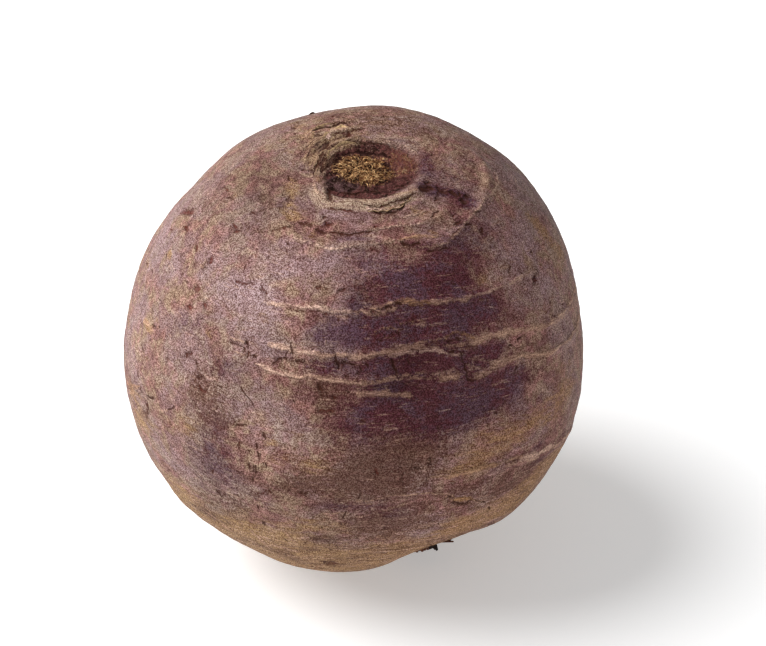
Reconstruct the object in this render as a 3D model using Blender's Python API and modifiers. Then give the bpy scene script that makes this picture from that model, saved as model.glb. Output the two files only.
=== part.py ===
"""A mature globe beetroot, trimmed of its leaves and standing on its base.

Metres, +Z up. The origin lies under the middle of the root, on the surface that it stands on.
Azimuth is in degrees from the front (-Y) towards the right (+X). Elevation is in degrees above
the level of the root's centre.
"""

import math
from collections import namedtuple

import bmesh
import bpy
import numpy as np
from mathutils import Matrix, Vector

MM = 0.001

# Driving sizes of the root
MEAN_RADIUS = 44.5 * MM
CENTRE_HEIGHT = 43.4 * MM  # less than the radius, so that a small flat spot is left under it
CENTRE = np.array([0.0, 0.0, CENTRE_HEIGHT])

# Crown, seen from above: sizes round the scar that the leaves left
CROWN_X, CROWN_Y = 3.8 * MM, -4.8 * MM
CROWN_DROP = 2.7 * MM  # how far the top is flattened
CROWN_DROP_REACH = 14.0 * MM
HEART_DEPTH = 1.3 * MM
HEART_EDGE = 1.1 * MM
HEART_OUTLINE = (  # angle from +X, radius in mm
    (-180, 8.7), (-160, 9.8), (-135, 11.2), (-110, 9.4), (-80, 8.4), (-45, 7.6),
    (0, 8.9), (25, 9.8), (60, 9.3), (90, 8.5), (135, 8.2), (180, 8.7),
)
LIP_HEIGHT = 0.55 * MM
LIP_WIDTH = 1.2 * MM

# Broken ends of the leaf stalks, packed in the middle of the scar
STUB_X, STUB_Y = 2.0 * MM, -5.4 * MM
STUB_COUNT = 32
STUB_SPREAD = 5.6 * MM
STUB_SUNK = 2.0 * MM
STUB_RISE = (0.4 * MM, 1.3 * MM)
STUB_RADIUS = 0.75 * MM
STUB_SIDES = 5

# Tap root, torn off short, in a pit under the front right of the body
TAP_AZIMUTH, TAP_ELEVATION = 47.0, -63.5
TAP_RADIUS = 2.3 * MM
TAP_REACH = 1.015 * MEAN_RADIUS  # distance of its torn end from the root's centre
TAP_SIDES = 10
TAP_STRAND = (4.6 * MM, -0.4 * MM, 1.2 * MM)  # from the torn end to the tip of its side strand
FOLD_COUNT = 7
FOLD_HEIGHT = 0.25 * MM
FOLD_FROM_TAP = 13.0  # degrees from the tap root to the middle of the folds
FOLD_SPREAD = 7.0

# The two shallow furrows, on opposite sides, that the side rootlets grew from
FURROW_AZIMUTHS = (-64.0, 116.0)
FURROW_DEPTH = 0.3 * MM
FURROW_WIDTH = 2.2 * MM

# Turned blank
SECTORS = 64
RINGS = 82
SEED = 7

# The body's own bulges and hollows: azimuth, elevation and spread in degrees, height in mm
Bulge = namedtuple("Bulge", "name azimuth elevation spread height_mm")
BULGES = (
    Bulge("right_shoulder", 120, 40, 15, 1.0),
    Bulge("back_shoulder", 155, 50, 15, 0.4),
    Bulge("behind_crown", -165, 55, 15, -0.3),
    Bulge("left_hollow", -115, 30, 25, -2.0),
    Bulge("left_flat", -95, 10, 15, -0.5),
    Bulge("right_flat", 95, 10, 15, -0.8),
    Bulge("left_cheek", -60, -35, 15, 1.0),
    Bulge("right_cheek", 75, -15, 15, 0.8),
    Bulge("front_foot", -25, -50, 15, 0.6),
    Bulge("front_fold", 30, -45, 10, -3.0),
    Bulge("tap_hollow", 40, -55, 12, -3.0),
    Bulge("tap_pit", 50, -65, 8, -1.5),
    Bulge("right_foot", 55, -35, 12, 1.0),
    Bulge("back_cheek", -160, -12, 22, -1.1),
    Bulge("back_foot", 165, -45, 17, 0.8),
    Bulge("left_back_foot", -125, -42, 14, -0.6),
)

# A corky growth crack that runs round the body, as azimuth and elevation along it
Band = namedtuple("Band", "name width_mm height_mm path")
BANDS = (
    Band("upper", 0.8, 0.40, (
        (-26, 40.2), (-16, 41.1), (-5, 41.2), (3, 40.4), (10, 41.6), (16, 42.1), (26, 40.8),
        (40, 38.8), (50, 37.7), (64, 35.0))),
    Band("middle", 1.0, 0.50, (
        (-42, 31.8), (-28, 30.9), (-10, 30.7), (-3, 31.1), (5, 31.1), (13, 32.3), (21, 32.2),
        (28, 32.3), (33, 30.2), (40, 27.8), (47, 26.5), (60, 22.5), (78, 17.8), (94, 15.0),
        (106, 14.0))),
    Band("middle_branch", 0.7, 0.30, ((8, 30.2), (18, 30.2), (24, 29.0), (29, 27.2), (37, 27.4))),
    Band("lower", 0.9, 0.45, (
        (-34, 27.6), (-28, 26.5), (-20, 24.9), (-10, 24.8), (-5, 25.5), (0, 24.4), (11, 25.1),
        (18, 24.4), (22, 22.2), (32, 20.4), (47, 20.9), (52, 19.3), (58, 16.2), (73, 12.0),
        (90, 9.0), (98, 8.0))),
    Band("short", 0.8, 0.35, ((-1, 22.2), (5, 21.2), (12, 20.8), (18, 20.0))),
    Band("flank", 1.1, 0.45, (
        (16, -2.4), (25, -3.2), (35, -5.8), (41, -6.6), (52, -10.3), (60, -12.1), (76, -15.0))),
    Band("back_upper", 0.9, 0.40, ((-172, 34.0), (-158, 36.0), (-140, 35.0), (-122, 32.0))),
    Band("back_lower", 1.0, 0.45, ((-176, 4.0), (-158, 7.5), (-138, 6.0), (-112, 9.5))),
    Band("back_right", 0.9, 0.45, ((122, 16.0), (140, 19.5), (156, 18.0), (172, 20.0))),
    Band("back_flank", 1.0, 0.45, ((118, -14.0), (140, -11.0), (162, -14.0), (176, -12.0))),
)
BAND_FADE = 9.0  # degrees over which a band's end dies away

# A ridge of bark round the scar, as angle from +X and distance from the scar's middle in mm
Ridge = namedtuple("Ridge", "name width_mm height_mm path")
RIDGES = (
    Ridge("front_lip", 0.9, 0.55, ((-150, 13.0), (-120, 11.6), (-90, 10.6), (-50, 9.4), (-15, 10.6))),
    Ridge("front_flake", 0.8, 0.45, ((-136, 14.6), (-112, 12.9), (-80, 12.6), (-55, 12.2), (-30, 11.6))),
    Ridge("front_fold", 0.9, 0.40, ((-124, 18.6), (-90, 16.0), (-58, 15.6), (-30, 16.4))),
    Ridge("collar", 1.0, 0.50, (
        (-165, 19.0), (-140, 21.4), (-122, 21.5), (-100, 19.4), (-86, 18.2), (-70, 18.6), (-49, 20.1),
        (-28, 19.5), (-9, 20.5), (10, 21.8), (35, 22.5))),
    Ridge("back_left_inner", 0.7, 0.40, ((95, 10.2), (130, 10.0), (160, 10.4), (180, 10.6))),
    Ridge("back_left_outer", 0.8, 0.45, ((80, 13.0), (110, 13.2), (140, 13.0), (168, 12.4))),
    Ridge("back_left_rim", 0.9, 0.40, ((88, 16.2), (120, 16.6), (146, 15.6))),
)
RIDGE_FADE = 14.0

LUMPS = ((5.3, 3.1, -2.2, 0.4), (-3.4, 5.9, 3.6, 1.9), (2.7, -4.4, 6.1, 3.3), (7.9, 6.2, 4.8, 5.2))
LUMP_HEIGHT = 0.16 * MM

SKIN_COLOUR = (0.20, 0.11, 0.09, 1.0)
SKIN_ROUGHNESS = 0.75


def clear_scene():
    """Empty the scene of objects."""
    for obj in list(bpy.data.objects):
        bpy.data.objects.remove(obj, do_unlink=True)


def new_collection(name):
    collection = bpy.data.collections.new(name)
    bpy.context.scene.collection.children.link(collection)
    return collection


def skin_material():
    material = bpy.data.materials.new("beetroot_skin")
    material.use_nodes = True
    shader = material.node_tree.nodes["Principled BSDF"]
    shader.inputs["Base Color"].default_value = SKIN_COLOUR
    shader.inputs["Roughness"].default_value = SKIN_ROUGHNESS
    shader.inputs["Metallic"].default_value = 0.0
    return material


def direction(azimuth, elevation):
    """Unit vector from the root's centre at an azimuth and elevation in degrees."""
    a, e = math.radians(azimuth), math.radians(elevation)
    return np.array([math.sin(a) * math.cos(e), -math.cos(a) * math.cos(e), math.sin(e)])


def angle_from(directions, axis):
    """Angle in degrees between each direction and an axis."""
    return np.degrees(np.arccos(np.clip(directions @ axis, -1.0, 1.0)))


def bump(distance, width):
    return np.exp(-((distance / width) ** 2))


def smooth_step(value):
    t = np.clip(value, 0.0, 1.0)
    return t * t * (3.0 - 2.0 * t)


def faded(value, first, last, fade):
    """1 between first and last, dying away to 0 within fade of each end."""
    return smooth_step((value - first) / fade) * smooth_step((last - value) / fade)


def track(value, path, column):
    """Reads a path of (value, height) points at each value."""
    return np.interp(value, [p[0] for p in path], [p[column] for p in path])


def bulged_radius(directions):
    """The body's own form: a globe with its bulges, hollows and slow lumps."""
    radius = np.full(len(directions), MEAN_RADIUS)
    for bulge in BULGES:
        away = angle_from(directions, direction(bulge.azimuth, bulge.elevation))
        radius += bulge.height_mm * MM * bump(away, bulge.spread)
    for x, y, z, phase in LUMPS:
        radius += LUMP_HEIGHT * np.sin(directions @ np.array([x, y, z]) + phase)
    return radius


def crown_relief(plan):
    """Height of the crown's flattened top, sunken heart, lip and bark ridges over the globe."""
    x, y = plan[:, 0] - CROWN_X, plan[:, 1] - CROWN_Y
    away = np.hypot(x, y)
    angle = np.degrees(np.arctan2(y, x))
    edge = away - track(angle, HEART_OUTLINE, 1) * MM
    relief = -CROWN_DROP * bump(away, CROWN_DROP_REACH)
    relief -= HEART_DEPTH * smooth_step(0.5 - edge / HEART_EDGE)
    relief += LIP_HEIGHT * bump(edge - HEART_EDGE, LIP_WIDTH)
    for ridge in RIDGES:
        ends = faded(angle, ridge.path[0][0], ridge.path[-1][0], RIDGE_FADE)
        across = away - track(angle, ridge.path, 1) * MM
        relief += ridge.height_mm * MM * bump(across, ridge.width_mm * MM) * ends
    return relief


def band_relief(azimuth, elevation):
    """Height of the corky bands over the skin."""
    relief = np.zeros(len(azimuth))
    for band in BANDS:
        ends = faded(azimuth, band.path[0][0], band.path[-1][0], BAND_FADE)
        across = np.radians(elevation - track(azimuth, band.path, 1)) * MEAN_RADIUS
        relief += band.height_mm * MM * bump(across, band.width_mm * MM) * ends
    return relief


def furrow_relief(azimuth, elevation):
    """Depth of the two shallow furrows that the lateral rootlets grow in."""
    relief = np.zeros(len(azimuth))
    level = MEAN_RADIUS * np.cos(np.radians(elevation))
    for furrow in FURROW_AZIMUTHS:
        turned = (azimuth - furrow + 180.0) % 360.0 - 180.0
        across = np.radians(turned) * level
        relief -= FURROW_DEPTH * bump(across, FURROW_WIDTH) * faded(elevation, -60.0, 28.0, 14.0)
    return relief


def fold_relief(directions):
    """Folds that gather towards the tap root."""
    tap = direction(TAP_AZIMUTH, TAP_ELEVATION)
    side = np.cross(tap, [0.0, 0.0, 1.0])
    side /= np.linalg.norm(side)
    up = np.cross(side, tap)
    around = np.arctan2(directions @ up, directions @ side)
    away = angle_from(directions, tap)
    return FOLD_HEIGHT * np.cos(FOLD_COUNT * around) * bump(away - FOLD_FROM_TAP, FOLD_SPREAD)


def surface_radius(directions):
    """Distance from the root's centre to its skin along each unit direction."""
    azimuth = np.degrees(np.arctan2(directions[:, 0], -directions[:, 1]))
    elevation = np.degrees(np.arcsin(np.clip(directions[:, 2], -1.0, 1.0)))
    radius = bulged_radius(directions)
    top = directions[:, 2] > 0.0
    crown = crown_relief(directions[:, :2] * radius[:, None])
    radius = radius + np.where(top, crown, 0.0)
    return radius + band_relief(azimuth, elevation) + furrow_relief(azimuth, elevation) + fold_relief(
        directions
    )


def surface_point(along):
    """The point of the skin that lies along a direction from the centre."""
    along = np.asarray(along, float) / np.linalg.norm(along)
    return CENTRE + along * surface_radius(along[None, :])[0]


def crown_direction():
    """Unit vector from the root's centre to the middle of the scar."""
    rise = math.sqrt(MEAN_RADIUS**2 - CROWN_X**2 - CROWN_Y**2) - CROWN_DROP
    along = np.array([CROWN_X, CROWN_Y, rise])
    return along / np.linalg.norm(along)


def ring_angles():
    """Angles from the top of the blank's rings, closest round the crown and across the bands."""
    angle = np.linspace(0.0, 180.0, 721)
    density = 1.0 + 2.2 * bump(angle, 26.0) + 1.9 * bump(angle - 62.0, 19.0)
    along = np.cumsum(density) - density[0]
    return np.interp(np.linspace(0.0, along[-1], RINGS + 1), along, angle)


def turned_blank(collection):
    """A globe turned from a half-round profile, with its rings where the detail will be."""
    angles = np.radians(ring_angles())
    points = [(math.sin(a), 0.0, math.cos(a)) for a in angles]
    points[0], points[-1] = (0.0, 0.0, 1.0), (0.0, 0.0, -1.0)
    mesh = bpy.data.meshes.new("blank")
    mesh.from_pydata(points, [(i, i + 1) for i in range(len(points) - 1)], [])
    blank = bpy.data.objects.new("blank", mesh)
    collection.objects.link(blank)
    screw = blank.modifiers.new("turn", "SCREW")
    screw.axis = "Z"
    screw.steps = screw.render_steps = SECTORS
    screw.use_merge_vertices = True
    screw.merge_threshold = 0.0001
    return blank


def as_mesh(obj, name):
    """The object's evaluated shape as a mesh of its own, in world space."""
    graph = bpy.context.evaluated_depsgraph_get()
    evaluated = obj.evaluated_get(graph)
    mesh = bpy.data.meshes.new_from_object(evaluated)
    mesh.transform(evaluated.matrix_world)
    mesh.name = name
    return mesh


def shape_body(mesh):
    """Moves each point of the turned globe to the beetroot's skin."""
    points = np.empty(len(mesh.vertices) * 3)
    mesh.vertices.foreach_get("co", points)
    along = points.reshape(-1, 3)
    crown = crown_direction()
    lean = np.array([crown[0] / crown[2], crown[1] / crown[2], 0.0])
    along = along + np.outer(smooth_step((along[:, 2] - 0.3) / 0.7), lean)
    along /= np.linalg.norm(along, axis=1, keepdims=True)
    skin = CENTRE + along * surface_radius(along)[:, None]
    skin[:, 2] = np.maximum(skin[:, 2], 0.0)
    mesh.vertices.foreach_set("co", skin.ravel())
    mesh.update()


def make_body(collection):
    blank = turned_blank(collection)
    mesh = as_mesh(blank, "beetroot")
    bpy.data.objects.remove(blank, do_unlink=True)
    shape_body(mesh)
    body = bpy.data.objects.new("beetroot", mesh)
    collection.objects.link(body)
    return body


def spike(name, collection, foot, tip, foot_radius, tip_radius, sides):
    """A closed tapered peg from foot to tip."""
    foot, tip = Vector(foot), Vector(tip)
    axis = tip - foot
    shape = bmesh.new()
    bmesh.ops.create_cone(
        shape,
        cap_ends=True,
        segments=sides,
        radius1=foot_radius,
        radius2=tip_radius,
        depth=axis.length,
    )
    turn = axis.to_track_quat("Z", "Y").to_matrix().to_4x4()
    bmesh.ops.transform(shape, matrix=Matrix.Translation((foot + tip) / 2) @ turn, verts=shape.verts)
    mesh = bpy.data.meshes.new(name)
    shape.to_mesh(mesh)
    shape.free()
    obj = bpy.data.objects.new(name, mesh)
    collection.objects.link(obj)
    return obj


def add_heart_stubs(collection, draw):
    """Broken ends of the leaf stalks, spiralling out from the middle of the scar."""
    golden = math.pi * (3.0 - math.sqrt(5.0))
    rise = math.sqrt(MEAN_RADIUS**2 - STUB_X**2 - STUB_Y**2)
    for i in range(STUB_COUNT):
        away = STUB_SPREAD * math.sqrt((i + 0.5) / STUB_COUNT)
        outward = Vector((math.cos(i * golden), math.sin(i * golden), 0.0))
        skin = Vector(surface_point((STUB_X + away * outward.x, STUB_Y + away * outward.y, rise)))
        way = (Vector((0.0, 0.0, 1.0)) + outward * draw.uniform(0.1, 0.6)).normalized()
        tip = skin + way * draw.uniform(*STUB_RISE)
        foot = skin - way * STUB_SUNK
        spike(f"stub_{i}", collection, foot, tip, STUB_RADIUS, STUB_RADIUS * 0.55, STUB_SIDES)


def add_tap_root(collection):
    """The stump of the tap root, with a torn side strand."""
    centre = Vector(CENTRE)
    way = Vector(direction(TAP_AZIMUTH, TAP_ELEVATION))
    foot = centre + way * (0.80 * MEAN_RADIUS)
    neck = centre + way * (0.95 * MEAN_RADIUS)
    end = centre + way * TAP_REACH
    strand = end + Vector(TAP_STRAND)
    spike("tap_base", collection, foot, neck + way * MM, TAP_RADIUS, TAP_RADIUS * 0.75, TAP_SIDES)
    spike("tap_end", collection, neck, end, TAP_RADIUS * 0.7, TAP_RADIUS * 0.4, TAP_SIDES)
    spike("tap_strand", collection, neck, strand, TAP_RADIUS * 0.5, TAP_RADIUS * 0.2, STUB_SIDES)


def fuse(body, growths):
    """Joins every growth to the body in one Boolean union and removes the loose growths."""
    union = body.modifiers.new("fuse", "BOOLEAN")
    union.operation = "UNION"
    union.solver = "MANIFOLD"
    union.operand_type = "COLLECTION"
    union.collection = growths
    fused = as_mesh(body, "beetroot_fused")
    body.modifiers.clear()
    body.data = fused
    for obj in list(growths.objects):
        bpy.data.objects.remove(obj, do_unlink=True)
    bpy.data.collections.remove(growths)


def main():
    clear_scene()
    collection = new_collection("beetroot")
    growths = new_collection("growths")
    draw = np.random.default_rng(SEED)
    body = make_body(collection)
    add_heart_stubs(growths, draw)
    add_tap_root(growths)
    fuse(body, growths)
    body.data.materials.clear()
    body.data.materials.append(skin_material())
    body.data.shade_smooth()


if __name__ == "__main__":
    main()
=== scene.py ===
"""A mature globe beetroot: dusty purple skin, corky rings, flaky crown scar and torn tap root.

Azimuth is in degrees from the front (-Y) towards the right (+X), elevation in degrees above the level
of the root's centre. A plan position is millimetres right (+X) and back (+Y) of the root's axis.
"""

import logging
import math
from dataclasses import dataclass
from enum import Enum

import bpy
import numpy as np
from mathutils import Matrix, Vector, noise


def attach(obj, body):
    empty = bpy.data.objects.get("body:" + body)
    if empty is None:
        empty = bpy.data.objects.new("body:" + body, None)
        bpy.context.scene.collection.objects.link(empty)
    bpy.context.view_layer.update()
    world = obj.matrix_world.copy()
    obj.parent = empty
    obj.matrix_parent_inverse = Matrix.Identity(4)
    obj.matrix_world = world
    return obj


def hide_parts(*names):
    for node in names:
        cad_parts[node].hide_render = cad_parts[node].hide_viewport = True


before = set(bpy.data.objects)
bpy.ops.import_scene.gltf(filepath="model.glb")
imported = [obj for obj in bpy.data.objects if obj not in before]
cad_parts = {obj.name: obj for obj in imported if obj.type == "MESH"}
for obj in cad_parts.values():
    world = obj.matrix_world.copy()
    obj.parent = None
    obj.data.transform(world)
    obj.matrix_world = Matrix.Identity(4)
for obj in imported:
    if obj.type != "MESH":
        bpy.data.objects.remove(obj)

LOG = logging.getLogger("beetroot")

MM = 0.001
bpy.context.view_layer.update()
NODE = "beetroot"
BODY = "root"

Path = tuple[tuple[float, float], ...]
Colour = tuple[float, float, float]
Gain = tuple[float, float, float, float]


def linear(colour: Colour) -> tuple[float, float, float, float]:
    """Turns a colour as a screen shows it, 0 to 255, into linear light with full opacity.

    Args:
        colour: Red, green and blue from 0 to 255.

    Returns:
        Linear red, green, blue and an alpha of 1.
    """
    shares = [c / 255.0 for c in colour]
    light = [s / 12.92 if s <= 0.04045 else ((s + 0.055) / 1.055) ** 2.4 for s in shares]
    return (light[0], light[1], light[2], 1.0)


def direction(azimuth: float, elevation: float) -> np.ndarray:
    """Unit vector from the root's centre at an azimuth and elevation in degrees."""
    a, e = math.radians(azimuth), math.radians(elevation)
    return np.array([math.sin(a) * math.cos(e), -math.cos(a) * math.cos(e), math.sin(e)])


def bump(distance: np.ndarray, width: float | np.ndarray) -> np.ndarray:
    """A round hill, 1 in the middle and dying away over width."""
    return np.exp(-((distance / width) ** 2))


def turned(angle: np.ndarray, middle: float) -> np.ndarray:
    """Angle from a middle, between -180 and 180 degrees."""
    return (angle - middle + 180.0) % 360.0 - 180.0


def smooth_step(value: np.ndarray) -> np.ndarray:
    """0 below 0, 1 above 1, and an even S between."""
    t = np.clip(value, 0.0, 1.0)
    return t * t * (3.0 - 2.0 * t)


def faded(value: np.ndarray, first: float, last: float, fade: float) -> np.ndarray:
    """1 between first and last, dying away to 0 within fade of each end."""
    return smooth_step((value - first) / fade) * smooth_step((last - value) / fade)


def track(value: np.ndarray, path: Path) -> np.ndarray:
    """Reads a curve through (value, height) points.

    Args:
        value: Where the curve is read.
        path: The points, in rising order of their first number.

    Returns:
        The height at each value, on a smooth curve through the points.
    """
    x = np.array([p[0] for p in path], float)
    y = np.array([p[1] for p in path], float)
    slope = np.gradient(y, x)
    at = np.clip(value, x[0], x[-1])
    i = np.clip(np.searchsorted(x, at) - 1, 0, len(x) - 2)
    span = x[i + 1] - x[i]
    t = (at - x[i]) / span
    rise = (2 * t**3 - 3 * t**2 + 1) * y[i] + (3 * t**2 - 2 * t**3) * y[i + 1]
    return rise + span * ((t**3 - 2 * t**2 + t) * slope[i] + (t**3 - t**2) * slope[i + 1])


def smooth_path(path: Path, steps: int) -> np.ndarray:
    """Lays a smooth curve through a path's points.

    Args:
        path: The points.
        steps: How many steps each stretch between two points gets.

    Returns:
        The curve's points, one row each.
    """
    points = np.array(path, float)
    along = np.arange(len(points), dtype=float)
    fine = np.linspace(0.0, along[-1], steps * (len(points) - 1) + 1)
    columns = [track(fine, tuple(zip(along, points[:, k]))) for k in range(points.shape[1])]
    return np.stack(columns, axis=1)


def rough(points: np.ndarray, size: float, seed: float, octaves: int = 3) -> np.ndarray:
    """Cloudy noise from about -1 to 1.

    Args:
        points: Where it is read, in millimetres.
        size: The size of its largest lumps, in millimetres.
        seed: A shift that makes one noise unlike another.
        octaves: How many finer sizes are added.

    Returns:
        One value a point.
    """
    shifted = points / size + seed
    return np.array([noise.fractal(Vector(p), 1.0, 2.0, octaves) for p in shifted])


@dataclass(frozen=True)
class Bulge:
    """A bulge or hollow of the body: place and spread in degrees, height in millimetres."""

    name: str
    azimuth: float
    elevation: float
    spread: float
    height: float


@dataclass(frozen=True)
class Band:
    """A corky growth crack round the body: its path is azimuth and elevation."""

    name: str
    width: float
    height: float
    path: Path


@dataclass(frozen=True)
class Ridge:
    """A ridge of bark round the scar: its path is angle from +X and distance from the scar in mm."""

    name: str
    width: float
    height: float
    path: Path


BULGES = (
    Bulge("right_shoulder", 120, 40, 15, 1.0),
    Bulge("back_shoulder", 155, 50, 15, 0.4),
    Bulge("behind_crown", -165, 55, 15, -0.3),
    Bulge("left_hollow", -115, 30, 25, -2.0),
    Bulge("left_flat", -95, 10, 15, -0.5),
    Bulge("right_flat", 95, 10, 15, -0.8),
    Bulge("left_cheek", -60, -35, 15, 1.0),
    Bulge("right_cheek", 75, -15, 15, 0.8),
    Bulge("front_foot", -25, -50, 15, 0.6),
    Bulge("front_fold", 30, -45, 10, -3.0),
    Bulge("tap_hollow", 40, -55, 12, -3.0),
    Bulge("tap_pit", 50, -65, 8, -1.5),
    Bulge("right_foot", 55, -35, 12, 1.0),
    Bulge("back_cheek", -160, -12, 22, -1.1),
    Bulge("back_foot", 165, -45, 17, 0.8),
    Bulge("left_back_foot", -125, -42, 14, -0.6),
)

BANDS = (
    Band("upper", 0.8, 0.40, (
        (-26, 40.2), (-16, 41.1), (-5, 41.2), (3, 40.4), (10, 41.6), (16, 42.1), (26, 40.8),
        (40, 38.8), (50, 37.7), (64, 35.0))),
    Band("middle", 1.0, 0.50, (
        (-42, 31.8), (-28, 30.9), (-10, 30.7), (-3, 31.1), (5, 31.1), (13, 32.3), (21, 32.2),
        (28, 32.3), (33, 30.2), (40, 27.8), (47, 26.5), (60, 22.5), (74, 19.4), (84, 17.4))),
    Band("middle_branch", 0.7, 0.30, ((8, 30.2), (18, 30.2), (24, 29.0), (29, 27.2), (37, 27.4))),
    Band("lower", 0.9, 0.45, (
        (-34, 27.6), (-28, 26.5), (-20, 24.9), (-10, 24.8), (-5, 25.5), (0, 24.4), (11, 25.1),
        (18, 24.4), (22, 22.2), (32, 20.4), (47, 20.9), (52, 19.3), (58, 16.2), (73, 12.0),
        (84, 10.4))),
    Band("short", 0.8, 0.35, ((-1, 22.2), (5, 21.2), (12, 20.8), (18, 20.0))),
    Band("flank", 1.1, 0.45, (
        (16, -2.4), (25, -3.2), (35, -5.8), (41, -6.6), (52, -10.3), (60, -12.1), (76, -15.0))),
    Band("back_upper", 0.9, 0.40, ((-172, 34.0), (-158, 36.0), (-140, 35.0), (-122, 32.0))),
    Band("back_lower", 1.0, 0.45, ((-176, 4.0), (-158, 7.5), (-138, 6.0), (-112, 9.5))),
    Band("back_right", 0.9, 0.45, ((122, 16.0), (140, 19.5), (156, 18.0), (172, 20.0))),
    Band("back_flank", 1.0, 0.45, ((118, -14.0), (140, -11.0), (162, -14.0), (176, -12.0))),
)

RIDGES = (
    Ridge("front_lip", 0.9, 0.55, ((-150, 13.0), (-120, 11.6), (-90, 10.6), (-50, 9.4), (-15, 10.6))),
    Ridge("front_flake", 0.8, 0.45, (
        (-136, 14.6), (-112, 12.9), (-80, 12.6), (-55, 12.2), (-30, 11.6))),
    Ridge("front_fold", 0.9, 0.40, ((-124, 18.6), (-90, 16.0), (-58, 15.6), (-30, 16.4))),
    Ridge("collar", 1.0, 0.50, (
        (-165, 19.0), (-140, 21.4), (-122, 21.5), (-100, 19.4), (-86, 18.2), (-70, 18.6),
        (-49, 20.1), (-28, 19.5), (-9, 20.5), (10, 21.8), (35, 22.5))),
    Ridge("back_left_inner", 0.7, 0.40, ((95, 10.2), (130, 10.0), (160, 10.4), (180, 10.6))),
    Ridge("back_left_outer", 0.8, 0.45, ((80, 13.0), (110, 13.2), (140, 13.0), (168, 12.4))),
    Ridge("back_left_rim", 0.9, 0.40, ((88, 16.2), (120, 16.6), (146, 15.6))),
)


class Place(Enum):
    """How a mark's place is given."""

    BODY = "azimuth and elevation in degrees"
    CROWN = "plan position in millimetres"


@dataclass(frozen=True)
class Stroke:
    """A line on the skin: half width in millimetres, and a tone from -1 to 1 that its ink explains."""

    half_width: float
    tone: float
    path: Path
    place: Place


class StainAndPaintedLight(Enum):
    """What a patch of the skin is stained with, or the painted shade, painted light or painted warm shade
    that it carries.
    """

    PURPLE = 0
    BROWN = 1
    TAN = 2
    LILAC = 3
    OCHRE = 4
    MAROON = 5
    PAINTED_SHADE = 6
    PAINTED_LIGHT = 7
    PAINTED_WARM_SHADE = 8


@dataclass(frozen=True)
class Patch:
    """A patch of stain, painted shade or painted light: its middle and half sizes as its table gives them,
    and its strength up to 1.
    """

    stain: StainAndPaintedLight
    middle: tuple[float, float]
    half_size: tuple[float, float]
    strength: float


def strokes(place: Place, rows: tuple[tuple[float, float, Path], ...]) -> tuple[Stroke, ...]:
    """Makes strokes from rows of half width, tone and path."""
    return tuple(Stroke(row[0], row[1], row[2], place) for row in rows)


def patches(stain: StainAndPaintedLight, rows: tuple[tuple[float, ...], ...]) -> tuple[Patch, ...]:
    """Makes patches from rows of middle, half sizes and strength."""
    return tuple(Patch(stain, (row[0], row[1]), (row[2], row[3]), row[4]) for row in rows)
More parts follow.
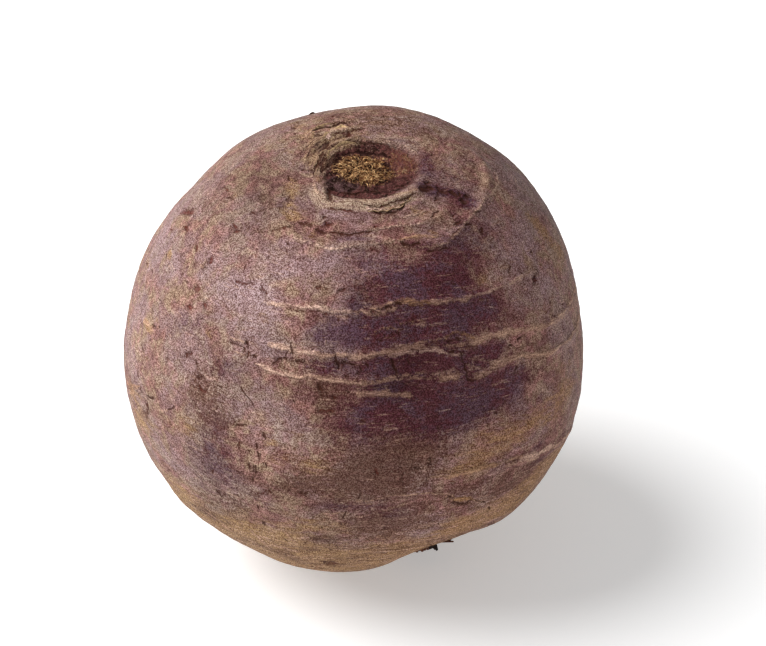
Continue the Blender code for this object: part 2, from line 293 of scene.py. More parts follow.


# Dark ink, for cracks, slits and a few painted shadows: tone runs from red-brown (-1) through dark brown (0)
# to black (1)
BODY_CRACKS_AND_PAINTED_SHADOW = strokes(Place.BODY, (
    (0.20, -0.7, ((-40.7, 42.6), (-38.5, 42.9), (-36.8, 43.1), (-34.8, 43.6), (-33.8, 43.4))),
    (0.18, -0.7, ((-31, 43.8), (-29.8, 43), (-28.6, 42.4))),
    (0.16, -0.3, ((-40.1, 47.2), (-39.6, 45.9))),
    (0.22, -0.6, ((-38.8, 39.9), (-38.1, 39.3))),
    (0.42, -0.9, ((-48.2, 34.3), (-46.8, 33.8))),
    (0.30, -0.7, ((-12.8, 46.2), (-11, 46.7))),
    (0.26, -0.7, ((-9.8, 46.5), (-8.8, 46.4))),
    (0.36, -0.2, ((-5.4, 45.6), (-4.4, 46.2), (-2.8, 46.6))),
    # Painted shadow: a thin line under the upper corky band.
    (0.13, -0.6, ((-20, 40.2), (-15, 40.5), (-10, 40.7))),
    (0.24, -0.7, ((-8.9, 40.5), (-8.1, 40.3))),
    (0.15, 0, ((-17.8, 32.8), (-17.2, 31.4), (-16.6, 30.3))),
    (0.19, 0.1, ((-22, 26.8), (-20.6, 28.2), (-19, 28.8), (-18.2, 29))),
    (0.16, 0, ((-18.3, 30.6), (-18.6, 29.9))),
    (0.20, 0.2, ((-15.6, 28.7), (-14.5, 28.8), (-13.5, 28.6), (-13.3, 29.7))),
    (0.20, 0.2, ((-6.2, 32.2), (-5.2, 31.3), (-5, 30.2), (-4.6, 29.2))),
    (0.34, 0.7, ((-4.9, 29.7), (-4.2, 28.8), (-4.2, 27.7))),
    (0.26, 0.6, ((-3, 29.6), (-2.2, 29.2))),
    (0.24, 0.5, ((-1.4, 29.3), (-0.6, 28.8), (0.4, 29))),
    (0.22, 0.4, ((1.4, 28.4), (1.9, 27.2))),
    (0.20, 0.4, ((3, 29), (3.8, 28.4))),
    (0.34, 0.2, ((-30.5, 30.5), (-29.9, 29.9))),
    (0.20, -0.2, ((-29.8, 29.6), (-29.2, 28.6), (-28.9, 27))),
    (0.15, -0.1, ((-30.8, 29.2), (-30.4, 27.9))),
    (0.24, 0, ((-27.6, 27.9), (-26.6, 27.4))),
    (0.15, -0.1, ((-35.2, 28.9), (-31.5, 28.9))),
    (0.20, 0.2, ((-24.9, 24.4), (-24.7, 23.9))),
    (0.30, -0.3, ((-48.3, 21.2), (-47, 21.5), (-45.8, 22.2))),
    (0.22, 0.1, ((-44.1, 21.2), (-43.5, 20.2))),
    (0.26, -0.1, ((-47.9, 20.3), (-47.2, 20.9))),
    (0.34, 0, ((-42.2, 17.5), (-40.8, 18.1))),
    (0.30, -0.4, ((-41.6, 15.8), (-40.8, 14.9), (-40, 14.7), (-39, 15.3))),
    (0.15, -0.1, ((-29.5, 19.2), (-28, 18), (-26.2, 17), (-25.4, 15.6))),
    (0.16, -0.1, ((-36.2, 18), (-34.6, 17.4))),
    (0.20, 0.1, ((-15.4, 19.3), (-14.9, 18.6))),
    (0.30, 0, ((-9.2, 24.2), (-8.6, 22.6), (-8.3, 21.2))),
    (0.30, -0.3, ((-5.6, 21.2), (-4.2, 20.7))),
    (0.24, -0.2, ((-7, 22), (-6.6, 20.8))),
    (0.26, -0.7, ((-8.8, 17.2), (-6.5, 17.4), (-5.5, 17.8), (-4.6, 16.6))),
    (0.20, 0, ((-2.4, 26.2), (-1.4, 25.8))),
    (0.22, 0.3, ((0.4, 26.8), (1.4, 26.4))),
    (0.20, 0.1, ((-2, 22.6), (-1, 22.2))),
    (0.22, -0.2, ((1.6, 15.4), (2.6, 15))),
    (0.40, -0.4, ((-54.8, 16.6), (-53.8, 16.9))),
    (0.18, -0.3, ((-50.4, 19.6), (-49.2, 20.1))),
    (0.18, 0.3, ((-61, 3), (-59, 3.6), (-57, 4.4))),
    (0.22, 0, ((-60.3, 1.4), (-60.2, 0.4), (-59.2, -0.2))),
    (0.22, -0.1, ((-60.8, -0.6), (-60.2, -1.8), (-60.6, -3.2))),
    (0.20, 0, ((-51.2, 4.6), (-50, 5.3), (-48.8, 6.6))),
    (0.24, -0.2, ((-67.4, 13), (-66.3, 12.3))),
    (0.22, -0.1, ((-66.4, 10.3), (-65.4, 9.3))),
    (0.18, 0.1, ((-69.1, 8.2), (-68.3, 8))),
    (0.30, -0.2, ((-67, 6.1), (-66.3, 4.7))),
    (0.22, -0.2, ((-65.1, 3), (-64.6, 1.8))),
    (0.16, 0.4, ((-67.7, 20.5), (-67.2, 20.5))),
    (0.17, 0.3, ((-65.6, 20.4), (-64.6, 20.4), (-63.6, 20.7))),
    (0.18, 0.3, ((-62.9, 20.1), (-62.2, 20.3))),
    (0.14, 0.2, ((-62.4, 21.6), (-61.6, 21.9))),
    (0.14, 0.2, ((-60.9, 20.6), (-60.4, 20.7))),
    (0.16, 0, ((-68.2, 26.4), (-66.2, 26.8))),
    (0.20, -0.1, ((-87, 25.9), (-85.4, 26.5))),
    (0.16, -0.2, ((-79.8, 28.2), (-77.6, 28.6))),
    (0.20, -0.2, ((-76.4, 35.2), (-74.6, 34.6))),
    (0.28, -0.9, ((-84.6, 38.6), (-82.8, 39.2))),
    (0.60, -1, ((-54.2, 36), (-52.2, 36.6))),
    (0.50, -1, ((-53.6, 31.2), (-51.8, 31.6))),
    (0.18, 0, ((-58.9, 35.9), (-58.2, 35.9))),
    (0.16, 0.1, ((-56.2, 31), (-55.6, 31.1))),
    (0.18, 0, ((-47.2, 30.8), (-46.6, 30.9))),
    (0.62, -1, ((-54.6, 44.3), (-53.7, 42.9))),
    (0.26, 0.1, ((-55, 41.4), (-53.6, 41.7))),
    (0.30, -0.4, ((-60.6, 40.4), (-59.6, 40.1))),
    (0.34, -0.8, ((-64.2, 43.8), (-63, 43))),
    (0.52, -0.7, ((-78, 43.3), (-75.8, 43.9), (-74.2, 43.2))),
    (0.60, -1, ((-88, 42.4), (-85, 44.8), (-80.5, 46.6))),
    (0.24, -0.6, ((-57.5, 53.9), (-55, 53.4), (-53, 52.6), (-51.2, 53.3))),
    (0.18, -0.2, ((-55.2, 58.6), (-52.5, 58.9))),
    (0.22, -0.1, ((-73, 56.5), (-71, 57.2), (-69.5, 57.9))),
    (0.22, -0.9, ((-82, 56.5), (-77, 57.5))),
    (0.19, -0.3, ((-39.2, 57.3), (-36, 58.2), (-33, 59), (-30.5, 59.8))),
    (0.18, 0, ((-29, 55.5), (-27.2, 55.4))),
    (0.22, 0.1, ((-26.8, 61.9), (-23.8, 61.6))),
    (0.19, 0.1, ((-29.8, 9.3), (-28.5, 9.9), (-27, 10.4))),
    (0.20, 0.1, ((-22.4, 9.7), (-21.8, 8.5))),
    (0.26, -0.3, ((-28.6, 5.1), (-28.7, 3.3))),
    (0.18, -0.1, ((-26.9, 3.5), (-26.6, 2.7))),
    (0.16, -0.1, ((-26.2, 3.6), (-25.4, 4))),
    (0.19, 0, ((-23.9, 6.3), (-23.8, 5.1))),
    (0.24, 0.2, ((-23.6, 4.3), (-23.3, 1.8))),
    (0.24, 0.2, ((-24.1, 0.3), (-24, -2.3))),
    (0.17, 0.1, ((-25.9, 0.1), (-25.7, -1.5))),
    (0.15, 0, ((-21.6, 1.5), (-21.3, 0.3))),
    (0.15, 0, ((-22, 6.2), (-21.9, 5.3))),
    (0.17, 0.1, ((-25.1, -3.9), (-25, -5.1))),
    (0.24, -0.1, ((-20.9, -6.5), (-20.3, -7.5))),
    (0.32, -0.6, ((-23.8, -8.7), (-22.6, -8), (-21.5, -7.3))),
    (0.17, 0.2, ((-20.2, -5.2), (-19.8, -5.2))),
    (0.20, 0.1, ((-13.3, -5.8), (-12.2, -6))),
    (0.20, 0.1, ((-12.1, -5.1), (-11.3, -5.7))),
    (0.21, 0.2, ((-24.6, -12.9), (-24.5, -15.5))),
    (0.14, 0.2, ((-24.5, -19.5), (-24.2, -20.9))),
    (0.14, 0.2, ((-23.9, -19.3), (-23.8, -20.4))),
    (0.34, 0.2, ((-36.6, -13.2), (-35.5, -13.9))),
    (0.24, -0.1, ((-36.6, -6.2), (-36.9, -7.5))),
    (0.14, 0.2, ((-1.9, -11.1), (-2.6, -12.4), (-3, -13.7))),
    (0.24, 0.3, ((-3.5, -15.8), (-3.2, -16.3))),
    (0.14, 0.2, ((-13.1, -12), (-12.9, -12.5))),
    (0.15, 0.2, ((-15.2, -17.8), (-15.1, -18.5))),
    (0.17, 0.2, ((-10.9, -23.2), (-8.7, -22.8))),
    (0.15, 0.1, ((-19, -25.1), (-18.6, -26.1))),
    (0.20, 0.3, ((-9.2, -37.5), (-9, -39.6))),
    (0.22, 0, ((-15.2, -42.5), (-13.8, -42.2))),
    (0.16, 0.1, ((-16.5, -1.8), (-16.2, -2.5))),
    (0.15, 0.1, ((-8.5, -17.8), (-8.3, -18.4))),
    (0.14, 0.1, ((-20.1, -12), (-19.8, -12.3))),
    (0.34, 0.1, ((35.8, 10.6), (36.6, 10))),
    (0.26, 0.4, ((14.1, 1.7), (15.3, 1.4))),
    (0.14, 0.1, ((10.3, 2.7), (11.3, 2))),
    (0.14, 0.1, ((10.2, 5.7), (10.4, 4.7))),
    (0.12, 0.1, ((11.7, 0.9), (11.2, -0.2), (10.7, -2.2))),
    (0.16, 0.3, ((17.2, 2.5), (18.3, 1.8))),
    (0.14, 0.3, ((18, 3.8), (18.1, 2.4))),
    (0.50, -0.8, ((4.9, 2.3), (5.4, 0.8))),
    (0.15, 0.2, ((1.6, -4.5), (0.8, -6.5))),
    (0.15, 0.1, ((17, -1.7), (17.3, -3.1))),
    (0.30, -0.9, ((23.2, -4.4), (24, -4.8))),
    (0.13, 0.1, ((38.6, -5.3), (43.2, -5.9))),
    (0.24, 0.1, ((22.9, -8.9), (23.7, -9.9))),
    (0.30, 0.3, ((24.1, -12), (26.4, -13.2), (28.4, -13.7), (29.8, -12.9))),
    (0.15, 0.2, ((30.9, -13.5), (32.4, -15.2), (34.6, -16.9))),
    (0.20, 0.3, ((26.3, -10), (27.6, -10.1))),
    (0.13, 0.2, ((7.3, -17.3), (7.5, -18.9))),
    (0.20, 0.2, ((21.7, -19.2), (21.8, -20.1))),
    (0.18, 0.1, ((0.3, -21.9), (1.1, -23.3))),
    (0.17, 0.1, ((2.9, -22.9), (4.1, -24.4))),
    (0.17, 0.2, ((36.7, -19.9), (37.5, -21.1))),
    (0.16, 0.2, ((45.9, 3.6), (46.1, 3.1))),
    (0.16, 0.2, ((53.8, -1.2), (54.3, -1.3))),
    (0.14, 0.2, ((43.8, 0.7), (44.2, 0.5))),
    (0.36, -0.7, ((5.4, 40.9), (6.4, 41.2))),
    (0.32, 0.5, ((9.8, 41.6), (11, 42), (12, 41.6))),
    (0.28, 0.3, ((13, 41.8), (14, 42.5), (15.2, 42.1))),
    (0.24, 0.6, ((10.3, 29.7), (10.6, 27.6), (11, 26.2))),
    (0.18, 0.4, ((14.7, 29.2), (14.9, 27.8))),
    (0.34, 0.3, ((26.6, 31.2), (27.9, 31.1))),
    (0.24, 0.3, ((29.3, 31.5), (29.9, 30.9), (30.8, 30.3))),
    (0.20, 0.2, ((26.6, 28.4), (28.2, 28.3))),
    (0.20, 0.3, ((31.6, 28.6), (33.6, 28))),
    (0.16, 0.3, ((30, 28.4), (29.8, 25.8), (30.1, 23), (30, 20.6))),
    (0.28, 0.2, ((30.4, 20.6), (31.4, 20.2))),
    (0.15, 0.2, ((34.4, 21), (34.6, 20.2))),
    (0.26, 0, ((34.2, 43.7), (34.8, 43.4))),
    (0.20, 0.2, ((43.5, 28.9), (44.2, 28.9))),
    (0.24, 0.5, ((45, 24.4), (45.6, 24.3))),
    (0.30, 0.4, ((47.8, 24.5), (49, 24.7), (49.8, 24.5))),
    (0.28, 0.3, ((46.2, 22.4), (47.2, 22.6))),
    (0.22, 0.2, ((45, 18.9), (43.6, 17.4))),
    (0.16, 0.1, ((20.3, 11.6), (20.5, 10.8))),
    (0.15, 0.2, ((10.8, 11.5), (11.3, 11.3))),
    (0.26, 0.2, ((56.8, 50.8), (58.8, 51))),
    (0.16, 0.4, ((44.2, 46.4), (44.6, 46.4))),
    (0.24, 0.1, ((70.3, 38.3), (71, 38.2))),
    (0.16, 0, ((63.2, 37.3), (63.6, 37.1))),
    (0.14, 0, ((60.2, 38.1), (61.1, 36.7))),
    (0.14, -0.2, ((56, 39), (57.5, 39.6), (58.8, 40.2))),
    (0.18, 0, ((68.2, 34.3), (68.2, 33.2))),
    (0.15, 0.2, ((74.4, 34.5), (75.6, 34.4))),
    (0.20, 0.2, ((82.2, 35.5), (83.2, 35.3))),
    (0.70, -0.6, ((64.3, 33.4), (65.2, 32.6))),
    (0.16, 0.1, ((65.8, 25.4), (67.3, 25.6))),
    (0.22, 0.1, ((62.1, 18.9), (62.7, 18.9))),
    (0.20, 0.1, ((68.2, 16.9), (68.8, 16.6))),
    (0.15, 0.1, ((65, 22.5), (65.4, 22.3))),
    (0.14, 0.1, ((76.6, 18.4), (78.6, 18.5))),
    (0.15, 0.1, ((77.1, 13.6), (77.6, 13.5))),
    (0.16, 0, ((60.3, 8.4), (60.5, 8))),
    (0.34, 0, ((84.2, 41.9), (84.9, 41.6))),
    (0.20, -0.1, ((104, 30), (108, 31))),
    (0.24, 0, ((118, 8), (119, 5.4))),
    (0.18, 0.1, ((131, 3), (134, 3.6))),
    (0.26, -0.5, ((140, 30), (143, 31))),
    (0.20, 0.2, ((150, -20), (150.6, -23))),
    (0.22, 0.1, ((163, 10), (163.4, 7.2))),
    (0.18, -0.2, ((172, 26), (176, 26.8))),
    (0.22, 0.1, ((-170, -6), (-169.4, -9))),
    (0.26, -0.6, ((-160, 22), (-157, 23.4))),
    (0.18, 0.1, ((-148, -2), (-144, -1))),
    (0.22, 0.2, ((-138, 18), (-137.6, 15.4))),
    (0.18, 0, ((-126, -18), (-122, -17))),
    (0.20, 0.1, ((-116, 24), (-113, 25))),
    (0.22, -0.4, ((-104, -2), (-102, 0))),
))

CROWN_SLITS_AND_PAINTED_SHADOWS = strokes(Place.CROWN, (
    (0.95, 0.3, ((12.6, -9.8), (13.8, -9.2), (15.2, -8.4))),
    (0.60, 0.3, ((13.8, -7.4), (14.8, -6.9))),
    (0.46, 0.2, ((16, -8), (16.8, -8.9), (17.6, -8.7))),
    (0.36, 0.2, ((18.2, -8.4), (19.4, -8.9))),
    (0.85, 0.3, ((20.2, -9.4), (21.2, -10.4))),
    (0.50, 0.2, ((20.8, -8.2), (22, -8))),
    (0.40, 0.2, ((15.6, -10.8), (16.6, -11.2))),
    (0.48, 0.2, ((-5.3, 0), (-5, 1.6), (-4.6, 3.4))),
    (0.30, 0.1, ((-7.5, -7.4), (-6.9, -4.6), (-6.1, -2.2), (-5.4, -0.6))),
    (0.46, 0.2, ((-4.7, -11.2), (-4.6, -13), (-4.3, -14.8))),
    (0.36, -0.3, ((-1, 4.4), (-0.7, 6.4))),
    (0.20, 0.3, ((-4, 1), (-2, 2.3), (0, 3.2), (3, 3.8), (6, 3.8))),
    # Painted shadow: the next five rows draw the shade in the groove at the heart's upper and left edge as a
    # black crescent.
    (0.60, 1, ((-0.8, 0.7), (1, 1.2), (2.5, 1.4), (4, 1.5), (6, 1.1), (7.4, 0.3))),
    (0.40, 1, ((-3.4, -4.8), (-3.5, -3.2), (-2.9, -1.6), (-1.8, -0.3), (-0.8, 0.5))),
    (0.24, 0.9, ((-2.9, -1.5), (-1, -1.9))),
    (0.24, 0.8, ((0.4, -1.2), (1.7, -1.2))),
    (0.26, 0.8, ((-3.6, -6.6), (-3.4, -5.4), (-3, -4.2))),
    (0.24, 0.5, ((-2.2, -12), (0, -12), (1.6, -11.5), (3, -11))),
    (0.20, 0.2, ((3.4, -10.9), (6.2, -10.2))),
    (0.22, 0.1, ((8, -8.9), (10, -8))),
    (0.17, -0.7, ((-4.8, -16.3), (-3.4, -16.8), (-1.5, -17.1), (0.6, -17.5), (1.2, -17.4))),
    (0.17, -0.1, ((2.4, -15.9), (4.4, -15.9), (6.2, -15.2), (8.2, -14.1), (10, -12.8), (12, -11))),
    # Painted shadow under the loose bark flake's edge.
    (0.28, 0.2, ((3.8, -16.9), (5, -17.5), (7, -17.1), (8.5, -16.2), (9.7, -14.5))),
    (0.22, 0.2, ((-5.9, -7), (-5.1, -4.8), (-4.3, -2.6), (-3.6, -0.8))),
    (0.18, 0, ((-6.4, -6.8), (-5.7, -4.2), (-5, -2))),
    (0.28, 0.4, ((-7.4, 6.7), (-6.4, 7.6), (-5.4, 8.2))),
    (0.24, 0.5, ((-5, 8.3), (-3.6, 8.9), (-2.2, 9.8), (-1.1, 9.9))),
    (0.38, 0.2, ((-7.3, 5), (-6.3, 5.5), (-5.9, 4.8))),
    (0.20, 0.1, ((-8.4, 4.3), (-7.8, 4.2))),
    (0.18, -0.2, ((-3.4, 5.6), (-2, 6.2), (-0.5, 7), (0.6, 7.5), (2.2, 7.7))),
    (0.17, 0.2, ((-2.9, 2.2), (-1.6, 2.8), (-0.3, 3.4))),
    (0.17, 0.1, ((-0.8, 8.3), (-0.4, 9.3))),
    (0.32, -0.2, ((-4, 13.9), (-3.8, 13.3))),
    (0.34, -0.2, ((-1.7, 13.1), (-1.5, 12.4))),
    (0.24, -0.1, ((-10.5, 12.3), (-9.9, 12.5))),
    (0.20, 0, ((-11.7, 10.1), (-10.8, 9.1))),
    (0.18, 0, ((-11.1, 6.8), (-10.9, 6.4))),
    (0.20, 0.1, ((-10.5, 4.1), (-10.2, 4))),
    (0.20, 0.2, ((5.8, 13.9), (5.9, 13.3))),
    (0.16, 0, ((8.5, 12.7), (9, 11.8))),
    (0.17, 0.1, ((15.1, 2), (15.3, 1.4))),
    (0.20, 0, ((-12.4, -3.9), (-11.9, -3.9))),
    (0.22, 0.2, ((-12.3, -6.8), (-12, -8.3))),
    (0.24, -0.1, ((-9.8, -6), (-9.3, -5.9))),
    (0.26, 0.5, ((-12.4, -12.8), (-12.1, -13.3))),
    (0.17, 0.1, ((-13.2, -11.8), (-12.9, -11.7))),
    (0.17, 0.1, ((-9.9, -11.9), (-9.5, -11.8))),
    (0.17, 0.1, ((-11.1, -8.8), (-10.7, -8.6))),
    (0.15, -0.3, ((-15.3, -18.8), (-13.5, -19.1), (-12, -19.3))),
    (0.30, -0.2, ((-11.9, -19.4), (-11.4, -19.2))),
    (0.34, -0.1, ((-9.9, -18.8), (-8.4, -19.2), (-7.6, -19.8))),
    (0.26, -0.1, ((-5.7, -18), (-5.2, -18.2))),
    (0.36, -0.4, ((-5.3, -19.1), (-4.9, -19.8), (-4.1, -19.9))),
    (0.42, 0, ((-7, -20.3), (-6, -20.9), (-5.2, -21.5))),
    (0.22, -0.1, ((-4.1, -21.4), (-2.6, -21.8), (-1, -22), (1, -21.7), (3.2, -21.5))),
    (0.26, 0, ((8.6, -22.8), (10, -22.9), (12.2, -22.2))),
    (0.22, 0, ((13.6, -23.1), (15.6, -22.3), (17.2, -21.1))),
    (0.28, 0.2, ((18.6, -16.4), (19.4, -15.6), (20.1, -14.7))),
    (0.28, -0.5, ((18.5, -14.5), (18.9, -14))),
    (0.18, 0, ((20.4, -15.7), (21.9, -14.5))),
    (0.22, 0.1, ((22, -12.1), (23.3, -11.3))),
    (0.17, 0.1, ((14.5, -16.6), (15.2, -15), (16.1, -14.1))),
    (0.22, -0.2, ((15.4, -11.8), (16.4, -11))),
    (0.17, 0, ((18, -19.1), (18.8, -17.8), (19.5, -16.9))),
    (0.24, 0.1, ((23.8, -14.1), (23.9, -15.3))),
    (0.30, -1, ((3.8, -20.6), (4.2, -20.2))),
    (0.16, 0.2, ((20, -8), (20.2, -9.2))),
    (0.30, 0.1, ((16.8, -8.4), (17.8, -8.8))),
    (0.24, 0.1, ((18.8, -8.9), (19.7, -9.3))),
    (0.18, 0.1, ((16, -9.4), (16.3, -10))),
    (0.15, 0.2, ((18, -6.2), (18.1, -6.7))),
    (0.15, 0.2, ((21.4, -21.8), (21.7, -22))),
    (0.15, 0.1, ((26, -6.7), (26.2, -6.9))),
    (0.15, 0.1, ((24.7, -8.5), (24.9, -8.7))),
))

# Pale ink: tone runs from ochre (-1) through tan (0) to bone (1)
BODY_STREAKS = strokes(Place.BODY, (
    (0.26, 0.5, ((-28, 40.5), (-22, 40.9), (-18, 41.2), (-12, 41.5), (-9.5, 41.4),
        (-6, 41.2), (0, 41.2))),
    (0.30, 0, ((0, 41.2), (3, 41.1), (5.5, 40.4), (8, 40.6), (11, 41), (13.5, 41.4))),
    (0.24, -0.2, ((5, 41.6), (8, 42), (10, 42.5), (13, 42.6))),
    (0.46, -0.8, ((13.5, 42.8), (15.5, 42.8), (18, 42.3), (22, 41.5), (26, 41))),
    (0.36, 0, ((24, 41.3), (26, 41), (30, 40.3), (34, 39.6), (38, 39.1))),
    (0.20, 0.3, ((36, 39.3), (42, 38.7), (46, 38.2), (50, 37.6), (55, 36.8),
        (60, 36.2), (65, 35.5))),
    (0.22, 0.3, ((-35.8, 29.9), (-33, 30.1), (-30.6, 30.3))),
    (0.40, 0.4, ((-24, 31.2), (-20, 31.3), (-15, 31.1), (-10, 30.8))),
    (0.42, 0.1, ((-11, 30.8), (-8, 30.9), (-5, 31.1), (0, 30.7), (5, 30.8))),
    (0.62, 0, ((4, 31), (8, 31.2), (12, 31.6), (15, 31.7), (18, 31.5), (20, 31.2))),
    (0.18, -0.1, ((12, 32.4), (16, 32.5), (20, 32.3), (24, 32.2), (27, 32.4))),
    (0.26, 0.5, ((10, 30.5), (15, 30.5), (20, 30.4), (23, 29.6), (25, 28.8),
        (28, 27.6), (30, 26.9))),
    (0.17, 0.1, ((20, 31.2), (23, 30.7), (26, 30), (29, 29.4), (32, 29.6))),
    (0.26, -0.8, ((25.8, 31.9), (27.4, 32.5), (29.5, 32.6), (31.5, 31.9), (33.2, 30.9), (34.6, 29.9))),
    (0.20, -0.3, ((25.6, 30.4), (27.4, 29.8), (29.8, 29.6), (32, 29.2))),
    (0.60, 0, ((33, 29.4), (36, 29), (40, 28.6), (43, 28), (46, 27.2), (50, 26))),
    (0.46, 0, ((48, 26.6), (50, 26), (54, 24.9), (57, 23.5), (60, 22.6), (64, 21.6))),
    (0.28, 0.2, ((62, 22), (66, 21.2), (70, 20.4), (76, 19.6), (82, 18.4), (90, 16.4))),
    (0.34, 0.4, ((-26, 26.1), (-22, 25.6), (-19, 25), (-15, 25.2))),
    (0.36, 0.1, ((-16, 25.1), (-12, 25.6), (-8, 25.4), (-5, 25.1), (-1, 24.6), (2, 24.6))),
    (0.16, -0.2, ((0, 24.9), (4, 24.9), (8, 25.1), (10, 25.5), (13, 25.7), (16, 25.3),
        (19, 25.3))),
    (0.18, -0.1, ((1, 24.4), (5, 24.3), (10, 24.9), (15, 24.5), (20, 23.6), (24, 22.9))),
    (0.52, -0.1, ((22.5, 22.9), (25, 22.8), (28, 22.6))),
    (0.14, 0.3, ((30.8, 24.4), (33, 23.2), (35, 22.2))),
    (0.13, 0.3, ((31, 23.2), (33.4, 22.2), (35.4, 21.4))),
    (0.13, 0.2, ((20, 24.6), (24, 24.2), (27, 24.2))),
    (0.13, 0.2, ((32, 25.4), (36, 23.8), (39, 22.8))),
    (0.54, 0, ((32, 20.7), (35, 21), (38, 21.4), (42, 21.6), (46, 21))),
    (0.46, 0, ((44, 21.5), (47, 20.9), (50, 19.6), (53, 18.2), (56, 16.9), (60, 15.6))),
    (0.26, 0.2, ((58, 16.2), (64, 14.7), (70, 13.4), (75, 12.8), (82, 11.8), (90, 9.6))),
    (0.15, 0.2, ((64, 20.8), (68, 19.8), (72, 18.9), (78, 17))),
    (0.54, 0, ((0.6, 21.7), (3, 22), (6, 21.8), (9, 21.4))),
    (0.34, -0.1, ((8, 21.5), (11, 21), (14.5, 20.4))),
    (0.22, 0, ((17.2, -2), (20, -1.8), (23, -2.2))),
    (0.50, -0.6, ((21.5, -2.4), (26, -2.7), (30, -3.1), (34, -3.8), (37, -4.4))),
    (0.28, -0.3, ((36, -4.2), (40, -4.8), (44, -5.8))),
    (0.50, 0.4, ((43, -5.8), (47, -7.3), (50, -8.3), (53, -9.1), (57, -10.2))),
    (0.34, 0.2, ((55, -9.7), (60, -11.6), (66, -13), (74, -15))),
    (0.20, 0.2, ((41, -6.2), (43, -7.6), (47, -8.8), (50, -9.4))),
    (0.18, -0.1, ((8, -6), (14, -6.2), (17, -6.6), (19, -7), (22, -8.2), (25, -10))),
    (0.44, -0.9, ((24, -10.6), (26, -11.4), (28, -12.2), (30, -13.2))),
    (0.16, -0.2, ((29.5, -13), (32, -14.8), (34.5, -16.7))),
    (0.12, 0, ((0.2, -7), (4.4, -7.1))),
    (0.12, 0, ((-0.6, -8.5), (4, -8.4))),
    (0.13, 0, ((-8, -12), (-4, -11.6), (-1.4, -11.8))),
    (0.13, 0, ((-7, -13.6), (-3, -13.4))),
    (0.26, -0.4, ((-74.5, -2), (-70, 0), (-67, 2), (-65.2, 3.1))),
    (0.22, -0.2, ((-73, -4.4), (-70, -2.2), (-68, -0.6))),
    (0.17, 0.3, ((-53.8, 2.5), (-52.4, 3.6), (-51.2, 4.4))),
    (0.46, -0.1, ((-70.8, 18.5), (-68, 18.9), (-64.2, 19.2))),
    (0.20, -0.1, ((-57.2, 41.1), (-55.4, 41.2))),
    (0.30, 0.2, ((-29, -25.6), (-27.4, -28), (-26.2, -30.4), (-25.2, -33.4))),
    (0.26, -0.1, ((-18.6, -21.6), (-17, -24), (-15.8, -27.6))),
    (0.22, 0.1, ((-45, -25), (-40, -27.6), (-37, -30))),
    (0.13, -0.4, ((14, 37.4), (18, 37.8), (22, 37))),
    (0.12, -0.5, ((6, 36.4), (10, 36.9), (14, 36.2))),
    (0.10, 0.3, ((19, 36.2), (24, 36), (28, 35.2))),
    (0.14, 0, ((-33.4, 27.4), (-29.6, 27))),
    (0.12, 0.6, ((-7.9, 34.2), (-7.9, 33))),
    (0.14, 0.4, ((-17.2, 27.9), (-16.9, 26.9))),
    (0.24, 0, ((96, 15), (106, 14), (112, 13.2))),
    (0.34, 0, ((-172, 34), (-158, 36), (-140, 35), (-122, 32))),
    (0.40, 0.1, ((-176, 4), (-158, 7.5), (-138, 6), (-112, 9.5))),
    (0.36, 0, ((122, 16), (140, 19.5), (156, 18), (172, 20))),
    (0.38, -0.2, ((118, -14), (140, -11), (162, -14), (176, -12))),
    (0.20, 0.2, ((-120, 24), (-134, 26), (-150, 25))[::-1]),
    (0.20, -0.2, ((126, 28), (140, 29.5), (158, 27))),
))

CROWN_RIMS = strokes(Place.CROWN, (
    (0.17, 0.6, ((-10.4, -21.8), (-8, -22.8), (-6, -24), (-3, -24.5), (0, -24.2))),
    (0.15, 0.4, ((0, -24.1), (2, -23.8), (4, -23.5), (6, -23.2), (8, -22.7), (9.4, -22.3))),
    (0.30, -0.6, ((8.2, -22.5), (10, -21.6), (12, -20.9), (14, -20.3), (15.6, -19.8))),
    (0.18, 0.1, ((11.6, -22.9), (14, -22.4), (16, -21.2), (17.5, -20.2), (18.6, -18.4), (19.6, -17))),
    (0.20, 0.3, ((19.4, -17.2), (20.6, -15.2), (21.6, -13.6), (22.4, -12), (23.4, -10),
        (24.2, -8), (25, -6.4), (26, -4.8))),
    (0.14, 0.5, ((26, -4.8), (26.8, -1), (27, 3))),
    (0.15, 0.4, ((3, -21.2), (5, -20.6), (8, -19.8), (10.6, -19.1), (13.4, -17.8))),
    (0.11, 0.3, ((9, -17.6), (11.6, -16.4), (13.6, -14.8))),
    (0.11, 0.3, ((-4.9, -15.9), (-2, -16.6), (1, -16.9))),
    (0.35, 0.9, ((2.4, -16.5), (4, -16.4), (5.6, -16.3))),
    (0.22, 0.3, ((5.4, -16.4), (7.2, -15.7), (8.8, -14.7), (9.8, -13.5))),
    (0.22, 1, ((-4.9, 3.9), (-4.6, 4.7), (-4.2, 5.5))),
    (0.52, 0.2, ((-3.9, 7.7), (-2.4, 8), (-1, 8.2))),
    (0.13, 0.2, ((-9.2, 4.6), (-8, 6.4), (-6.6, 7.9), (-5, 9), (-2.8, 10.2), (0, 10.6))),
    (0.11, 0.4, ((-4.4, 5.6), (-3, 6.4), (-1, 7.3), (1.4, 8))),
    (0.11, 0.3, ((-6.6, -7.6), (-5.9, -4.6), (-4.8, -1.6), (-3.4, 0.8))),
    (0.11, 0.3, ((-5.6, -8), (-5.2, -6.2), (-4.5, -3.6), (-3.8, -1.6))),
    (0.11, 0.3, ((-3.4, 2.2), (-1.6, 3.4), (0.8, 4.3), (4, 4.6), (7, 4.5), (10, 3.4), (12.6, 1.2))),
    (0.10, 0.4, ((9.8, 8.1), (11.8, 9))),
    (0.12, 0.6, ((-10.3, -8.3), (-9.5, -8.2))),
    (0.15, 0.2, ((-8, -6.6), (-7.4, -9.6), (-6.8, -12.4), (-5.8, -14.4))),
))

